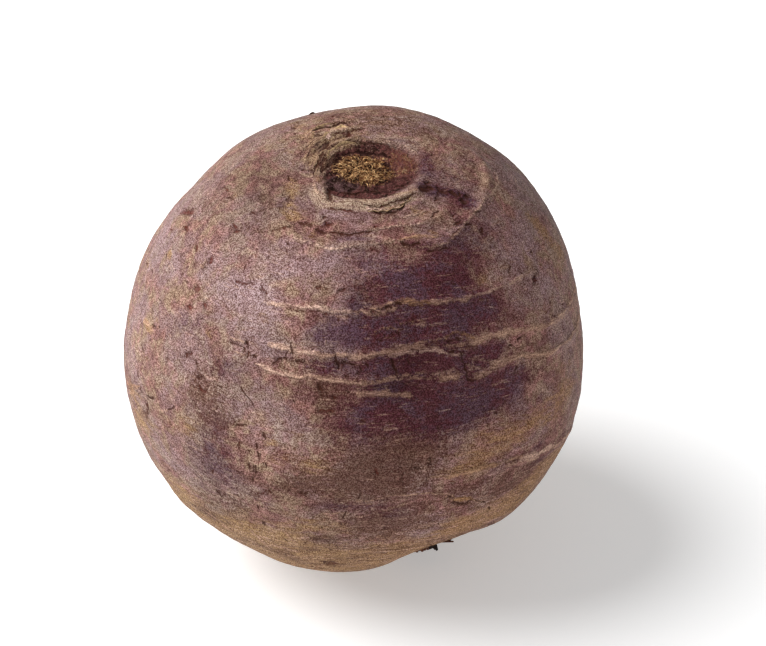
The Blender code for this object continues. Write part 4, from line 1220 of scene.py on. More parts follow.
@dataclass
class SkinSurface:
    """The skin's points with all that its material reads at them.

    The layered bark is wider and stronger on two sides: each row holds the angle from +X, the spread
    in degrees, the further reach in mm and the added strength. Levels, drift and gather of the
    underside's fibres are in degrees, their reach is too, and their half width is in mm. The rise of
    the growth rings is azimuth and degrees.
    """

    grid: SkinGrid
    layer_pitch: float = 0.9
    layer_height: float = 0.10 * MM
    heart_middle: tuple[float, float] = (2.6, -2.6)
    heart_swell: tuple[float, float] = (4.6, 3.0)
    heart_swell_height: float = 0.45 * MM
    crumb_height: float = 0.30 * MM
    slow_height: float = 0.12 * MM
    small_height: float = 0.05 * MM
    ring_height_mm: float = 0.05
    low_ring_height_mm: float = 0.10
    crack_depth_mm: float = 0.10
    crack_depth_gain: float = 0.35
    streak_height: float = 0.07 * MM
    bark_sides: tuple[tuple[float, float, float, float], ...] = (
        (150.0, 52.0, 6.5, 0.95), (-80.0, 44.0, 4.0, 0.3),
    )
    bark_reach: float = 1.2
    bark_fade: float = 2.8
    bark_least: float = 0.04
    fibre_top: float = -24.0
    fibre_drop: float = 38.0
    fibre_reach: tuple[float, float] = (6.0, 20.0)
    fibre_drift: float = 1.4
    fibre_gather: float = 26.0
    fibre_half_width: tuple[float, float] = (0.07, 0.24)
    flow_rise: Path = (
        (-180, 8), (-120, 2), (-42, 0), (0, 0.5), (20, 0.5), (40, 3.5), (60, 8), (80, 13), (100, 16),
        (140, 14), (180, 8),
    )

    def fibres(self, seed: int, count: int, tones: tuple[float, float]) -> tuple[Stroke, ...]:
        """Draws long thin strokes along the flow of the underside, drawn in towards the tap root.

        Args:
            seed: Seeds the draw.
            count: How many strokes there are.
            tones: The lowest and highest tone.

        Returns:
            The strokes.
        """
        draw = np.random.default_rng(seed)
        made = []
        for _ in range(count):
            level = self.fibre_top - self.fibre_drop * draw.uniform() ** 0.8
            start = draw.uniform(-180.0, 180.0)
            reach = draw.uniform(*self.fibre_reach) / math.cos(math.radians(level))
            drift = draw.normal(0.0, self.fibre_drift)
            azimuths = start + reach * np.array([0.0, 0.33, 0.67, 1.0])
            rise = level + drift * np.array([0.0, 0.4, 0.6, 1.0]) - track(azimuths, self.flow_rise)
            pull = 0.4 * bump(azimuths - FORM.tap_azimuth, self.fibre_gather)
            rise += pull * (FORM.tap_elevation + 12.0 - rise) * (rise < -34.0)
            path = tuple(zip(azimuths.tolist(), np.maximum(rise, -78.0).tolist()))
            width = draw.uniform(*self.fibre_half_width)
            made.append(Stroke(width, draw.uniform(*tones), path, Place.BODY))
        return tuple(made)

    def __post_init__(self) -> None:
        """Works out the points and their marks."""
        self.along = self.grid.directions()
        self.globe = self.along * FORM.mean_radius / MM
        self.azimuth, self.elevation = FORM.angles(self.along)
        self.plan = self.along[:, :2] * FORM.mean_radius
        self.top = self.along[:, 2] > self.grid.lean_from
        dark, light = self.fibres(61, 60, (-0.6, -0.1)), self.fibres(62, 110, (-0.8, 0.3))
        self.cracks_and_painted_shadows = StrokeField.lay(BODY_CRACKS_AND_PAINTED_SHADOW + CROWN_SLITS_AND_PAINTED_SHADOWS + dark, self.globe)
        self.streaks = StrokeField.lay(BODY_STREAKS + CROWN_RIMS + light, self.globe)
        self.crown = self.lay_crown()
        self.heart = self.lay_heart()
        self.stains_and_painted_light = self.lay_stains_and_painted_light()
        self.points = self.place()

    def lay_crown(self) -> np.ndarray:
        """Works out what the material needs round the scar.

        Returns:
            Distance in mm outside the heart's edge, strength of the layered bark, and height across
            the skin's growth rings in mm.
        """
        _, angle, edge = FORM.scar_polar(self.plan)
        edge_mm = edge / MM
        reach, strength = self.bark_reach, self.bark_least
        for middle, spread, further, stronger in self.bark_sides:
            beside = bump(turned(angle, middle), spread)
            reach = reach + further * beside
            strength = strength + stronger * beside
        bark = smooth_step((reach - edge_mm) / self.bark_fade) * np.clip(strength, 0.0, 1.0)
        risen = self.elevation + track(self.azimuth, self.flow_rise)
        flow = risen * math.radians(1.0) * FORM.mean_radius / MM
        return np.column_stack([
            np.where(self.top, edge_mm, 30.0), np.where(self.top, bark, 0.0), flow,
        ])

    def lay_heart(self) -> np.ndarray:
        """Works out the colour zones of the sunken heart.

        Returns:
            The share of each zone, one column each.
        """
        x, y = self.plan[:, 0] / MM, self.plan[:, 1] / MM
        heart = np.column_stack([zone.share(x, y) for zone in HEART_ZONES])
        return np.where(self.top[:, None], heart, 0.0)

    def lay_stains_and_painted_light(self) -> np.ndarray:
        """Works out where the stain patches and the patches of painted shade and painted light lie.

        Returns:
            The share of each stain, and of the painted shade, painted light and painted warm shade, one
            column each.
        """
        stains_and_painted_light = np.zeros((len(self.along), len(StainAndPaintedLight)))
        for patch in BODY_PATCHES:
            azimuth, elevation = patch.middle
            level = np.cos(np.radians(0.5 * (self.elevation + elevation)))
            wide = patch.half_size[0] * math.cos(math.radians(elevation))
            side = turned(self.azimuth, azimuth) * level / wide
            rise = (self.elevation - elevation) / patch.half_size[1]
            self.blend_stain_and_painted_light(stains_and_painted_light, patch, side**2 + rise**2)
        for patch in CROWN_PATCHES:
            side = (self.plan[:, 0] / MM - patch.middle[0]) / patch.half_size[0]
            rise = (self.plan[:, 1] / MM - patch.middle[1]) / patch.half_size[1]
            self.blend_stain_and_painted_light(stains_and_painted_light, patch, np.where(self.top, side**2 + rise**2, 9.0))
        return stains_and_painted_light

    @staticmethod
    def blend_stain_and_painted_light(stains_and_painted_light: np.ndarray, patch: Patch, away_squared: np.ndarray) -> None:
        """Adds one patch, of a stain or of painted shade or painted light, to its column.

        Args:
            stains_and_painted_light: The share of each stain and of the painted shade, painted light and
                painted warm shade, one column each, which is changed.
            patch: The patch.
            away_squared: Distance from the patch's middle over its half size, squared.
        """
        share = patch.strength * np.exp(-(away_squared**1.1))
        column = stains_and_painted_light[:, patch.stain.value]
        stains_and_painted_light[:, patch.stain.value] = 1.0 - (1.0 - column) * (1.0 - share)

    def place(self) -> np.ndarray:
        """Moves each direction out to the skin, with its fine relief.

        Returns:
            The skin's points in metres.
        """
        radius = FORM.radius(self.along)
        flat = self.globe * np.array([1.0, 1.0, 1.5])
        relief = self.slow_height * rough(flat, size=7.0, seed=3.1)
        relief += self.small_height * rough(flat, size=1.7, seed=11.7)
        flow = np.column_stack([self.globe[:, 0] * 0.15, self.globe[:, 1] * 0.15, self.crown[:, 2]])
        low = smooth_step((-12.0 - self.elevation) / 16.0)
        ring_height = (self.ring_height_mm + self.low_ring_height_mm * low) * MM
        relief += ring_height * rough(flow, size=1.6, seed=17.3, octaves=2)
        edge, bark = self.crown[:, 0], self.crown[:, 1]
        around = np.arctan2(self.plan[:, 1] - FORM.crown_y, self.plan[:, 0] - FORM.crown_x)
        arcs = np.column_stack([4.0 * np.cos(around), 4.0 * np.sin(around), edge / self.layer_pitch])
        layers = np.clip(2.2 * rough(arcs, size=1.0, seed=5.9, octaves=2), -1.0, 1.0)
        relief += self.layer_height * bark * layers
        inside = smooth_step(-edge / 0.8)
        relief += self.crumb_height * inside * rough(self.globe, size=1.1, seed=31.0)
        x = (self.plan[:, 0] / MM - self.heart_middle[0]) / self.heart_swell[0]
        y = (self.plan[:, 1] / MM - self.heart_middle[1]) / self.heart_swell[1]
        relief += self.heart_swell_height * bump(np.hypot(x, y), 1.0) * self.top
        depth = self.crack_depth_mm + self.crack_depth_gain * self.cracks_and_painted_shadows.half_width
        relief -= depth * MM * self.cracks_and_painted_shadows.covered(edge=0.35)
        relief += self.streak_height * self.streaks.covered(edge=0.5)
        points = FORM.centre + self.along * (radius + relief)[:, None]
        points[:, 2] = np.maximum(points[:, 2], 0.0)
        return points

    def build(self, name: str) -> bpy.types.Object:
        """Makes the mesh object with its marks as attributes.

        Args:
            name: The piece's name.

        Returns:
            The object, linked to the scene.
        """
        mesh = bpy.data.meshes.new(name)
        mesh.from_pydata(self.points.tolist(), [], self.grid.faces(len(self.points)))
        marks = {
            "crack": self.cracks_and_painted_shadows.marks(),
            "streak": self.streaks.marks(),
            "crown": self.crown,
            "heart": self.heart,
            "stain": self.stains_and_painted_light[:, :3],
            "bloom_sheen_and_stains": self.stains_and_painted_light[:, 3:6],
            "painted_shade_and_light": self.stains_and_painted_light[:, 6:],
        }
        for key, values in marks.items():
            layer = mesh.attributes.new(key, "FLOAT_VECTOR", "POINT")
            layer.data.foreach_set("vector", np.ascontiguousarray(values, np.float32).ravel())
        mesh.shade_smooth()
        skin = bpy.data.objects.new(name, mesh)
        bpy.context.scene.collection.objects.link(skin)
        return skin


class Graph:
    """A node tree with short calls for the nodes that the finishes are made of."""

    def __init__(self, tree: bpy.types.NodeTree) -> None:
        """Takes the tree that the nodes go in."""
        self.tree = tree

    def node(self, kind: str, **settings: object) -> bpy.types.Node:
        """Adds a node.

        Args:
            kind: Blender's name for the kind of node.
            settings: Properties to set on it.

        Returns:
            The node.
        """
        made = self.tree.nodes.new(kind)
        for key, value in settings.items():
            setattr(made, key, value)
        return made

    def feed(self, socket: bpy.types.NodeSocket, value: object) -> None:
        """Gives an input its value.

        Args:
            socket: The input.
            value: An output to link to it, or a number or colour to set.
        """
        if isinstance(value, bpy.types.NodeSocket):
            self.tree.links.new(value, socket)
        else:
            socket.default_value = value

    def math(self, operation: str, *values: object, clamp: bool = False) -> bpy.types.NodeSocket:
        """Adds one step of arithmetic.

        Args:
            operation: Blender's name for it.
            values: Its outputs or numbers.
            clamp: Whether the result is kept from 0 to 1.

        Returns:
            The result.
        """
        made = self.node("ShaderNodeMath", operation=operation, use_clamp=clamp)
        for socket, value in zip(made.inputs, values):
            self.feed(socket, value)
        return made.outputs[0]

    def vector(self, operation: str, *values: object) -> bpy.types.NodeSocket:
        """Adds one step of vector arithmetic that gives a vector.

        Args:
            operation: Blender's name for it.
            values: Its outputs or vectors.

        Returns:
            The result.
        """
        made = self.node("ShaderNodeVectorMath", operation=operation)
        for socket, value in zip(made.inputs, values):
            self.feed(socket, value)
        return made.outputs[0]

    def mix(self, share: object, first: object, second: object, blend: str = "MIX") -> bpy.types.NodeSocket:
        """Mixes two colours.

        Args:
            share: How much of the second is taken.
            first: The first colour.
            second: The second colour.
            blend: Blender's name for the way they mix.

        Returns:
            The mixed colour.
        """
        made = self.node("ShaderNodeMix", data_type="RGBA", blend_type=blend)
        self.feed(made.inputs[0], share)
        self.feed(made.inputs[6], first)
        self.feed(made.inputs[7], second)
        return made.outputs[2]

    def coat(self, under: object, over: Colour, share: object, strength: float) -> bpy.types.NodeSocket:
        """Lays one colour over another.

        Args:
            under: The colour under it.
            over: The colour that is laid, as a screen shows it.
            share: Where it lies, 0 to 1.
            strength: How much of it shows where the share is 1.

        Returns:
            The colour.
        """
        return self.mix(self.math("MULTIPLY", share, strength), under, linear(over))

    def between(self, value: object, low: object, high: object) -> bpy.types.NodeSocket:
        """Adds an even S from 0 at low to 1 at high.

        Args:
            value: What it is read at.
            low: Where it is 0.
            high: Where it is 1, which may be below low.

        Returns:
            The S at the value.
        """
        made = self.node("ShaderNodeMapRange", interpolation_type="SMOOTHSTEP")
        self.feed(made.inputs["Value"], value)
        self.feed(made.inputs["From Min"], low)
        self.feed(made.inputs["From Max"], high)
        return made.outputs[0]

    def noise(self, place: object, scale: object, detail: float = 2.0, grit: float = 0.55,
              warp: float = 0.0) -> bpy.types.NodeSocket:
        """Adds cloudy noise.

        Args:
            place: Where it is read.
            scale: How many lumps it has to a unit of place.
            detail: How many finer sizes are added.
            grit: How strong the finer sizes are.
            warp: How far it is bent by itself.

        Returns:
            The noise, 0 to 1.
        """
        made = self.node("ShaderNodeTexNoise", noise_dimensions="3D")
        self.feed(made.inputs["Vector"], place)
        self.feed(made.inputs["Scale"], scale)
        made.inputs["Detail"].default_value = detail
        made.inputs["Roughness"].default_value = grit
        made.inputs["Distortion"].default_value = warp
        return made.outputs[0]

    def cells(self, place: object, scale: float,
              chance: float) -> tuple[bpy.types.NodeSocket, bpy.types.NodeSocket]:
        """Adds scattered spots.

        Args:
            place: Where they are read.
            scale: How many there are to a unit of place.
            chance: The share of them that is kept.

        Returns:
            Distance from the nearest spot, and 1 where that spot is kept.
        """
        made = self.node("ShaderNodeTexVoronoi", feature="F1")
        self.feed(made.inputs["Vector"], place)
        made.inputs["Scale"].default_value = scale
        made.inputs["Randomness"].default_value = 1.0
        parts = self.node("ShaderNodeSeparateColor")
        self.feed(parts.inputs[0], made.outputs["Color"])
        return made.outputs["Distance"], self.math("LESS_THAN", parts.outputs[0], chance)

    def mark(self, name: str) -> tuple[bpy.types.NodeSocket, ...]:
        """Reads a mark that the mesh carries.

        Args:
            name: The mark's name.

        Returns:
            Its three numbers.
        """
        made = self.node("ShaderNodeAttribute", attribute_name=name)
        parts = self.node("ShaderNodeSeparateXYZ")
        self.feed(parts.inputs[0], made.outputs["Vector"])
        return tuple(parts.outputs)


def new_group(name: str, inputs: dict[str, float | None],
              outputs: tuple[str, ...]) -> tuple[Graph, bpy.types.Node, bpy.types.Node]:
    """Starts a shader node group.

    Args:
        name: The group's name.
        inputs: Each input's name with its value, or None for a vector.
        outputs: Names of the numbers that it puts out.

    Returns:
        A graph of the group's tree, its input node and its output node.
    """
    tree = bpy.data.node_groups.new(name, "ShaderNodeTree")
    for key, value in inputs.items():
        kind = "NodeSocketVector" if value is None else "NodeSocketFloat"
        socket = tree.interface.new_socket(name=key, in_out="INPUT", socket_type=kind)
        if value is not None:
            socket.default_value = value
    for key in outputs:
        tree.interface.new_socket(name=key, in_out="OUTPUT", socket_type="NodeSocketFloat")
    return Graph(tree), tree.nodes.new("NodeGroupInput"), tree.nodes.new("NodeGroupOutput")


def use_group(graph: Graph, tree: bpy.types.NodeTree, **values: object) -> bpy.types.Node:
    """Places a group in a graph.

    Args:
        graph: The graph.
        tree: The group.
        values: Its inputs' values. Their names are in lower case, with underscores for spaces.

    Returns:
        The group's node.
    """
    made = graph.node("ShaderNodeGroup", node_tree=tree)
    for key, value in values.items():
        graph.feed(made.inputs[key.replace("_", " ").capitalize()], value)
    return made


@dataclass(frozen=True)
class Effects:
    """Node groups that the finishes share."""

    grain: bpy.types.NodeTree
    line: bpy.types.NodeTree
    fibre: bpy.types.NodeTree
    cover: bpy.types.NodeTree


def grain_group() -> bpy.types.NodeTree:
    """Fine dusty grain of light and dark speckle, with sparse specks.

    Returns:
        A group that turns a position in millimetres into a shade, a coarser shade, specks and a height.
    """
    graph, given, out = new_group(
        "dusty_grain", {"Position": None, "Size": 0.28}, ("Shade", "Coarse", "Specks", "Height")
    )
    rate = graph.math("DIVIDE", 1.0, given.outputs["Size"])
    place = given.outputs["Position"]
    fine = graph.noise(place, rate, 1.0, 0.6)
    shifted = graph.vector("ADD", place, (31.0, 17.0, 5.0))
    coarse = graph.noise(shifted, graph.math("MULTIPLY", rate, 0.42), 2.0, 0.65)
    distance, kept = graph.cells(place, 1.3, 0.16)
    spots = graph.math("SUBTRACT", 1.0, graph.between(distance, 0.10, 0.26))
    graph.feed(out.inputs["Shade"], graph.between(fine, 0.42, 0.58))
    graph.feed(out.inputs["Coarse"], graph.between(coarse, 0.36, 0.64))
    graph.feed(out.inputs["Specks"], graph.math("MULTIPLY", spots, kept))
    graph.feed(out.inputs["Height"], graph.math("ADD", fine, coarse))
    return graph.tree


def line_group() -> bpy.types.NodeTree:
    """A ragged line that breaks up in places.

    Returns:
        A group that turns an offset across the line, all in millimetres, into a mask.
    """
    graph, given, out = new_group(
        "ragged_line",
        {"Position": None, "Offset": 2.0, "Half width": 0.0, "Ragged": 0.1, "Soft": 0.1, "Size": 0.6,
         "Breaks": 0.3},
        ("Mask",),
    )
    rate = graph.math("DIVIDE", 1.0, given.outputs["Size"])
    place = given.outputs["Position"]
    wobble = graph.math("SUBTRACT", graph.noise(place, rate, 2.0, 0.7), 0.5)
    shifted = graph.vector("ADD", place, (7.0, 23.0, 11.0))
    swell = graph.math("SUBTRACT", graph.noise(shifted, graph.math("MULTIPLY", rate, 0.7), 2.0, 0.7), 0.5)
    reach = graph.math("MULTIPLY", given.outputs["Ragged"], 2.4)
    offset = graph.math("MULTIPLY_ADD", wobble, reach, given.outputs["Offset"])
    lead = graph.math("SUBTRACT", given.outputs["Half width"], graph.math("ABSOLUTE", offset))
    lead = graph.math("MULTIPLY_ADD", swell, reach, lead)
    soft = graph.math("MULTIPLY", given.outputs["Soft"], 0.5)
    mask = graph.between(lead, graph.math("MULTIPLY", soft, -1.0), soft)
    live = graph.between(given.outputs["Half width"], 0.01, 0.08)
    broken = graph.noise(shifted, graph.math("MULTIPLY", rate, 0.5), 2.0, 0.6)
    gaps = graph.math("MULTIPLY", graph.between(broken, 0.54, 0.64), given.outputs["Breaks"])
    kept = graph.math("SUBTRACT", 1.0, gaps)
    graph.feed(out.inputs["Mask"], graph.math("MULTIPLY", graph.math("MULTIPLY", mask, live), kept))
    return graph.tree


def fibre_group() -> bpy.types.NodeTree:
    """Streaks along the first axis of a position.

    Returns:
        A group that turns a position into a streak shade and a height.
    """
    graph, given, out = new_group(
        "fibre", {"Position": None, "Size": 0.3, "Length": 6.0}, ("Shade", "Height")
    )
    stretch = graph.node("ShaderNodeCombineXYZ")
    graph.feed(stretch.inputs[0], graph.math("DIVIDE", 1.0, given.outputs["Length"]))
    stretch.inputs[1].default_value = 1.0
    stretch.inputs[2].default_value = 1.0
    place = graph.vector("MULTIPLY", given.outputs["Position"], stretch.outputs[0])
    rate = graph.math("DIVIDE", 1.0, given.outputs["Size"])
    streak = graph.noise(place, rate, 3.0, 0.65, 0.3)
    graph.feed(out.inputs["Shade"], graph.between(streak, 0.34, 0.66))
    graph.feed(out.inputs["Height"], streak)
    return graph.tree


def cover_group() -> bpy.types.NodeTree:
    """Ragged patches that cover a share of the surface.

    Returns:
        A group that turns a share from 0 to 1 and a cloudy field into a mask that covers that share.
    """
    graph, given, out = new_group("ragged_cover", {"Share": 0.0, "Field": 0.5, "Soft": 0.3}, ("Mask",))
    soft = given.outputs["Soft"]
    share = graph.math("MULTIPLY_ADD", soft, 2.0, 1.0)
    share = graph.math("SUBTRACT", graph.math("MULTIPLY", given.outputs["Share"], share), soft)
    lead = graph.math("SUBTRACT", share, graph.between(given.outputs["Field"], 0.30, 0.70))
    graph.feed(out.inputs["Mask"], graph.between(lead, graph.math("MULTIPLY", soft, -1.0), soft))
    return graph.tree


@dataclass(frozen=True)
class SkinFinish:
    """The skin's colours, as a screen shows them, the gains of its painted shade, painted light and painted
    warm shade, and its surface.

    A gain multiplies a linear colour. The shifts that are added to a place only make one noise unlike
    another.
    """

    plum: Colour = (112, 78, 73)
    fawn: Colour = (134, 108, 90)
    rosy: Colour = (138, 97, 90)
    grey_lilac: Colour = (130, 109, 108)
    lilac: Colour = (138, 112, 112)
    brown: Colour = (86, 58, 48)
    purple: Colour = (77, 37, 44)
    slate_purple: Colour = (78, 53, 64)
    tan: Colour = (142, 110, 77)
    ochre: Colour = (140, 106, 72)
    maroon: Colour = (88, 34, 36)
    dust: Colour = (148, 124, 110)
    ink_tan: Colour = (176, 141, 120)
    ink_ochre: Colour = (150, 112, 76)
    ink_bone: Colour = (207, 175, 161)
    lip: Colour = (156, 131, 111)
    bark: Colour = (146, 118, 90)
    bark_dark: Colour = (90, 62, 50)
    straw: Colour = (130, 88, 53)
    bright_straw: Colour = (220, 180, 130)
    orange: Colour = (102, 61, 47)
    heart_dark: Colour = (36, 20, 15)
    ripe: Colour = (90, 53, 50)
    slate: Colour = (82, 66, 68)
    crack_red: Colour = (92, 38, 30)
    crack_and_shadow_brown: Colour = (66, 35, 25)
    crack_and_shadow_black: Colour = (38, 18, 14)
    roughness: float = 0.60
    mottle_dark: Gain = (0.76, 0.72, 0.70, 1.0)
    mottle_light: Gain = (1.22, 1.26, 1.26, 1.0)
    painted_shade_gain: Gain = (0.54, 0.52, 0.51, 1.0)
    painted_light_gain: Gain = (1.53, 1.62, 1.62, 1.0)
    painted_warm_shade_gain: Gain = (1.05, 0.91, 0.95, 1.0)
    grain_dark: Gain = (0.51, 0.41, 0.39, 1.0)
    grain_light: Gain = (1.49, 1.66, 1.71, 1.0)
    coarse_dark: Gain = (0.92, 0.91, 0.90, 1.0)
    coarse_light: Gain = (1.08, 1.09, 1.10, 1.0)
    ink_dark: Gain = (0.74, 0.70, 0.68, 1.0)
    ink_light: Gain = (1.22, 1.22, 1.22, 1.0)
    ink_grain_dark: Gain = (0.64, 0.60, 0.58, 1.0)
    ink_grain_light: Gain = (1.32, 1.36, 1.38, 1.0)
    ink_on_purple: Gain = (0.66, 0.62, 0.64, 1.0)
    dry_roughness: float = 0.24
    grain_roughness: float = 0.14
    gloss: float = 0.05
    grain_height: float = 0.035
    mottle_height: float = 0.10
    crack_depth: float = 0.20
    sheen: float = 0.0

    def material(self, effects: Effects) -> bpy.types.Material:
        """Builds the skin's material.

        Args:
            effects: The shared node groups.

        Returns:
            The material.
        """
        made = bpy.data.materials.new("beetroot_skin")
        made.use_nodes = True
        graph = Graph(made.node_tree)
        shader = made.node_tree.nodes["Principled BSDF"]
        place = graph.vector("SCALE", graph.node("ShaderNodeTexCoord").outputs["Object"])
        place.node.inputs["Scale"].default_value = 1.0 / MM
        edge, bark, flow = graph.mark("crown")
        along = self.flow_place(graph, place, flow)
        grain = use_group(graph, effects.grain, position=place, size=0.24)
        colour, mottle, purple = self.ground(graph, effects, place, along, flow)
        colour, crown_height, heart = self.crown(graph, effects, colour, place, edge, bark)
        colour = self.speckle(graph, colour, place, grain, heart, purple)
        colour, ink, ink_height = self.inks(graph, effects, colour, place, along, grain, purple)
        colour, crack = self.crack_and_painted_shadow_lines(graph, effects, colour, place, grain)
        graph.feed(shader.inputs["Base Color"], colour)
        dry = graph.math("MAXIMUM", ink, heart)
        dull = graph.math("MULTIPLY_ADD", dry, self.dry_roughness, self.roughness)
        rough_value = graph.math("MULTIPLY_ADD", grain.outputs["Coarse"], self.grain_roughness, dull)
        graph.feed(shader.inputs["Roughness"], graph.math("MINIMUM", rough_value, 0.95))
        shader.inputs["Sheen Weight"].default_value = self.sheen
        shader.inputs["Sheen Roughness"].default_value = 0.5
        shader.inputs["Specular IOR Level"].default_value = self.gloss
        height = graph.math("MULTIPLY", grain.outputs["Height"], self.grain_height)
        height = graph.math("MULTIPLY_ADD", mottle, self.mottle_height, height)
        height = graph.math("ADD", height, crown_height)
        height = graph.math("ADD", height, ink_height)
        height = graph.math("MULTIPLY_ADD", crack, -self.crack_depth, height)
        relief = graph.node("ShaderNodeBump")
        relief.inputs["Strength"].default_value = 1.0
        relief.inputs["Distance"].default_value = MM
        graph.feed(relief.inputs["Height"], height)
        graph.feed(shader.inputs["Normal"], relief.outputs[0])
        return made

    def flow_place(self, graph: Graph, place: object, flow: object) -> object:
        """Makes the position that is drawn out along the growth rings.

        Args:
            graph: The graph that is built.
            place: The position in millimetres.
            flow: Height across the growth rings in millimetres.

        Returns:
            A position whose third number runs across the rings, and the others slowly along them.
        """
        parts = graph.node("ShaderNodeSeparateXYZ")
        graph.feed(parts.inputs[0], place)
        made = graph.node("ShaderNodeCombineXYZ")
        graph.feed(made.inputs[0], graph.math("MULTIPLY", parts.outputs[0], 0.12))
        graph.feed(made.inputs[1], graph.math("MULTIPLY", parts.outputs[1], 0.12))
        graph.feed(made.inputs[2], flow)
        return made.outputs[0]

    def ground(self, graph: Graph, effects: Effects, place: object, along: object, flow: object) -> tuple:
        """Plum, fawn and lilac skin with ragged stain patches, drawn out along the rings on its lower half,
        with painted sheen in the lilac and broad painted shade, painted light and painted warm shade.

        Args:
            graph: The graph that is built.
            effects: The shared node groups.
            place: The position in millimetres.
            along: The position drawn out along the growth rings.
            flow: Height across the growth rings in millimetres.

        Returns:
            The colour, a mottled field, and the purple stain's share.
        """
        purple, brown, tan = graph.mark("stain")
        lilac, ochre, maroon = graph.mark("bloom_sheen_and_stains")
        ringed = graph.vector("MULTIPLY", along, (2.8, 2.8, 1.0))
        wide = graph.noise(graph.vector("ADD", place, (5.0, 2.0, 9.0)), 0.11, 2.0, 0.5, 0.6)
        tint = graph.noise(graph.vector("ADD", place, (15.0, 22.0, 3.0)), 0.24, 2.0, 0.55, 0.8)
        blush = graph.noise(graph.vector("ADD", place, (2.0, 31.0, 13.0)), 0.42, 2.0, 0.5, 0.6)
        cloud = graph.noise(place, 0.62, 4.0, 0.68, 0.5)
        ring = graph.noise(ringed, 0.85, 4.0, 0.70, 0.4)
        blotch = graph.noise(graph.vector("ADD", place, (9.0, 4.0, 2.0)), 1.15, 3.0, 0.72)
        ring_blotch = graph.noise(graph.vector("ADD", ringed, (9.0, 4.0, 2.0)), 1.6, 3.0, 0.72)
        small = graph.noise(graph.vector("ADD", place, (3.0, 14.0, 8.0)), 2.0, 2.0, 0.7)
        thin = graph.noise(along, 2.4, 3.0, 0.62)
        drawn = graph.math("MULTIPLY_ADD", graph.between(flow, 24.0, -6.0), 0.55, 0.25)

        def covered(share: object, field: object, soft: float) -> object:
            """A stain's ragged mask."""
            return use_group(graph, effects.cover, share=share, field=field, soft=soft).outputs[0]

        def blend(first: object, second: object, share: object) -> object:
            """Blends two cloudy fields.

            Args:
                first: The first field.
                second: The second field.
                share: How much of the second is taken.

            Returns:
                A field about as wide as they are.
            """
            kept = graph.math("MULTIPLY", first, graph.math("SUBTRACT", 1.0, share))
            spread = graph.math("ADD", kept, graph.math("MULTIPLY", second, share))
            return graph.math("MULTIPLY_ADD", graph.math("SUBTRACT", spread, 0.5), 1.25, 0.5)

        large = blend(cloud, ring, drawn)
        middle = blend(blotch, ring_blotch, drawn)
        colour = graph.mix(graph.between(tint, 0.40, 0.60), linear(self.plum), linear(self.fawn))
        colour = graph.coat(colour, self.rosy, graph.between(blush, 0.48, 0.64), strength=0.7)
        # Grey-lilac veil and lilac coat: dusty bloom, and high on the front left a painted sheen as well.
        veil = graph.between(wide, 0.40, 0.60)
        veil = graph.math("MULTIPLY", veil, graph.math("MULTIPLY_ADD", lilac, 0.45, 0.40))
        colour = graph.mix(veil, colour, linear(self.grey_lilac))
        colour = graph.coat(colour, self.lilac, covered(lilac, tint, 1.0), strength=0.75)
        mottle = graph.mix(graph.between(blend(large, middle, 0.6), 0.34, 0.66),
                           self.mottle_dark, self.mottle_light)
        colour = graph.mix(1.0, colour, mottle, "MULTIPLY")
        low = graph.math("MULTIPLY_ADD", graph.between(flow, 4.0, -22.0), 0.24, 0.08)
        sandy = graph.math("MULTIPLY_ADD", tan, 0.80, low)
        long = graph.noise(ringed, 0.34, 3.0, 0.6, 0.5)
        sand = graph.math("MULTIPLY", covered(sandy, blend(large, blend(long, thin, 0.4), 0.55), 0.5), 0.9)
        colour = graph.mix(sand, colour, linear(self.tan))
        husk = graph.math("MULTIPLY", graph.between(blend(long, middle, 0.35), 0.50, 0.62), sand)
        colour = graph.coat(colour, self.brown, husk, strength=0.70)
        husk = graph.math("MULTIPLY", graph.between(thin, 0.52, 0.62), sand)
        colour = graph.coat(colour, self.ink_tan, husk, strength=0.65)
        colour = graph.coat(colour, self.ochre, covered(ochre, blend(small, thin, 0.4), 0.5), strength=0.75)
        umber = graph.math("MULTIPLY_ADD", brown, 0.9, 0.09)
        colour = graph.coat(colour, self.brown, covered(umber, blend(large, small, 0.6), 0.35), strength=0.85)
        deep = graph.mix(graph.between(blend(wide, middle, 0.5), 0.42, 0.60),
                         linear(self.purple), linear(self.slate_purple))
        stained = covered(graph.math("MULTIPLY_ADD", purple, 1.02, 0.03), blend(large, small, 0.45), 1.05)
        colour = graph.mix(graph.math("MULTIPLY", stained, 0.94), colour, deep)
        red = graph.mix(graph.between(small, 0.36, 0.60), linear(self.crack_and_shadow_brown), linear(self.maroon))
        reddened = graph.math("MULTIPLY", covered(maroon, blend(cloud, small, 0.7), 0.7), 0.85)
        colour = graph.mix(reddened, colour, red)
        low = graph.math("MULTIPLY_ADD", graph.between(flow, 0.0, -22.0), 0.35, 0.35)
        thread = graph.math("MULTIPLY", graph.between(thin, 0.57, 0.67), graph.between(large, 0.36, 0.54))
        colour = graph.mix(graph.math("MULTIPLY", thread, low), colour, linear(self.ink_tan))
        flecks = graph.math("SUBTRACT", 1.0, graph.between(small, 0.33, 0.41))
        colour = graph.coat(colour, self.crack_and_shadow_brown, flecks, strength=0.5)
        # Painted shade darkens the colour, painted light lightens it, and painted warm shade reddens it, less
        # where the purple stain lies.
        painted_shade_share, pale, painted_warm_shade_share = graph.mark("painted_shade_and_light")
        colour = graph.mix(painted_shade_share, colour, self.painted_shade_gain, "MULTIPLY")
        colour = graph.mix(pale, colour, self.painted_light_gain, "MULTIPLY")
        painted_warm_shade_share = graph.math("MULTIPLY", painted_warm_shade_share, graph.math("MULTIPLY_ADD", stained, -0.7, 1.0))
        colour = graph.mix(painted_warm_shade_share, colour, self.painted_warm_shade_gain, "MULTIPLY")
        return colour, blend(middle, small, 0.5), stained

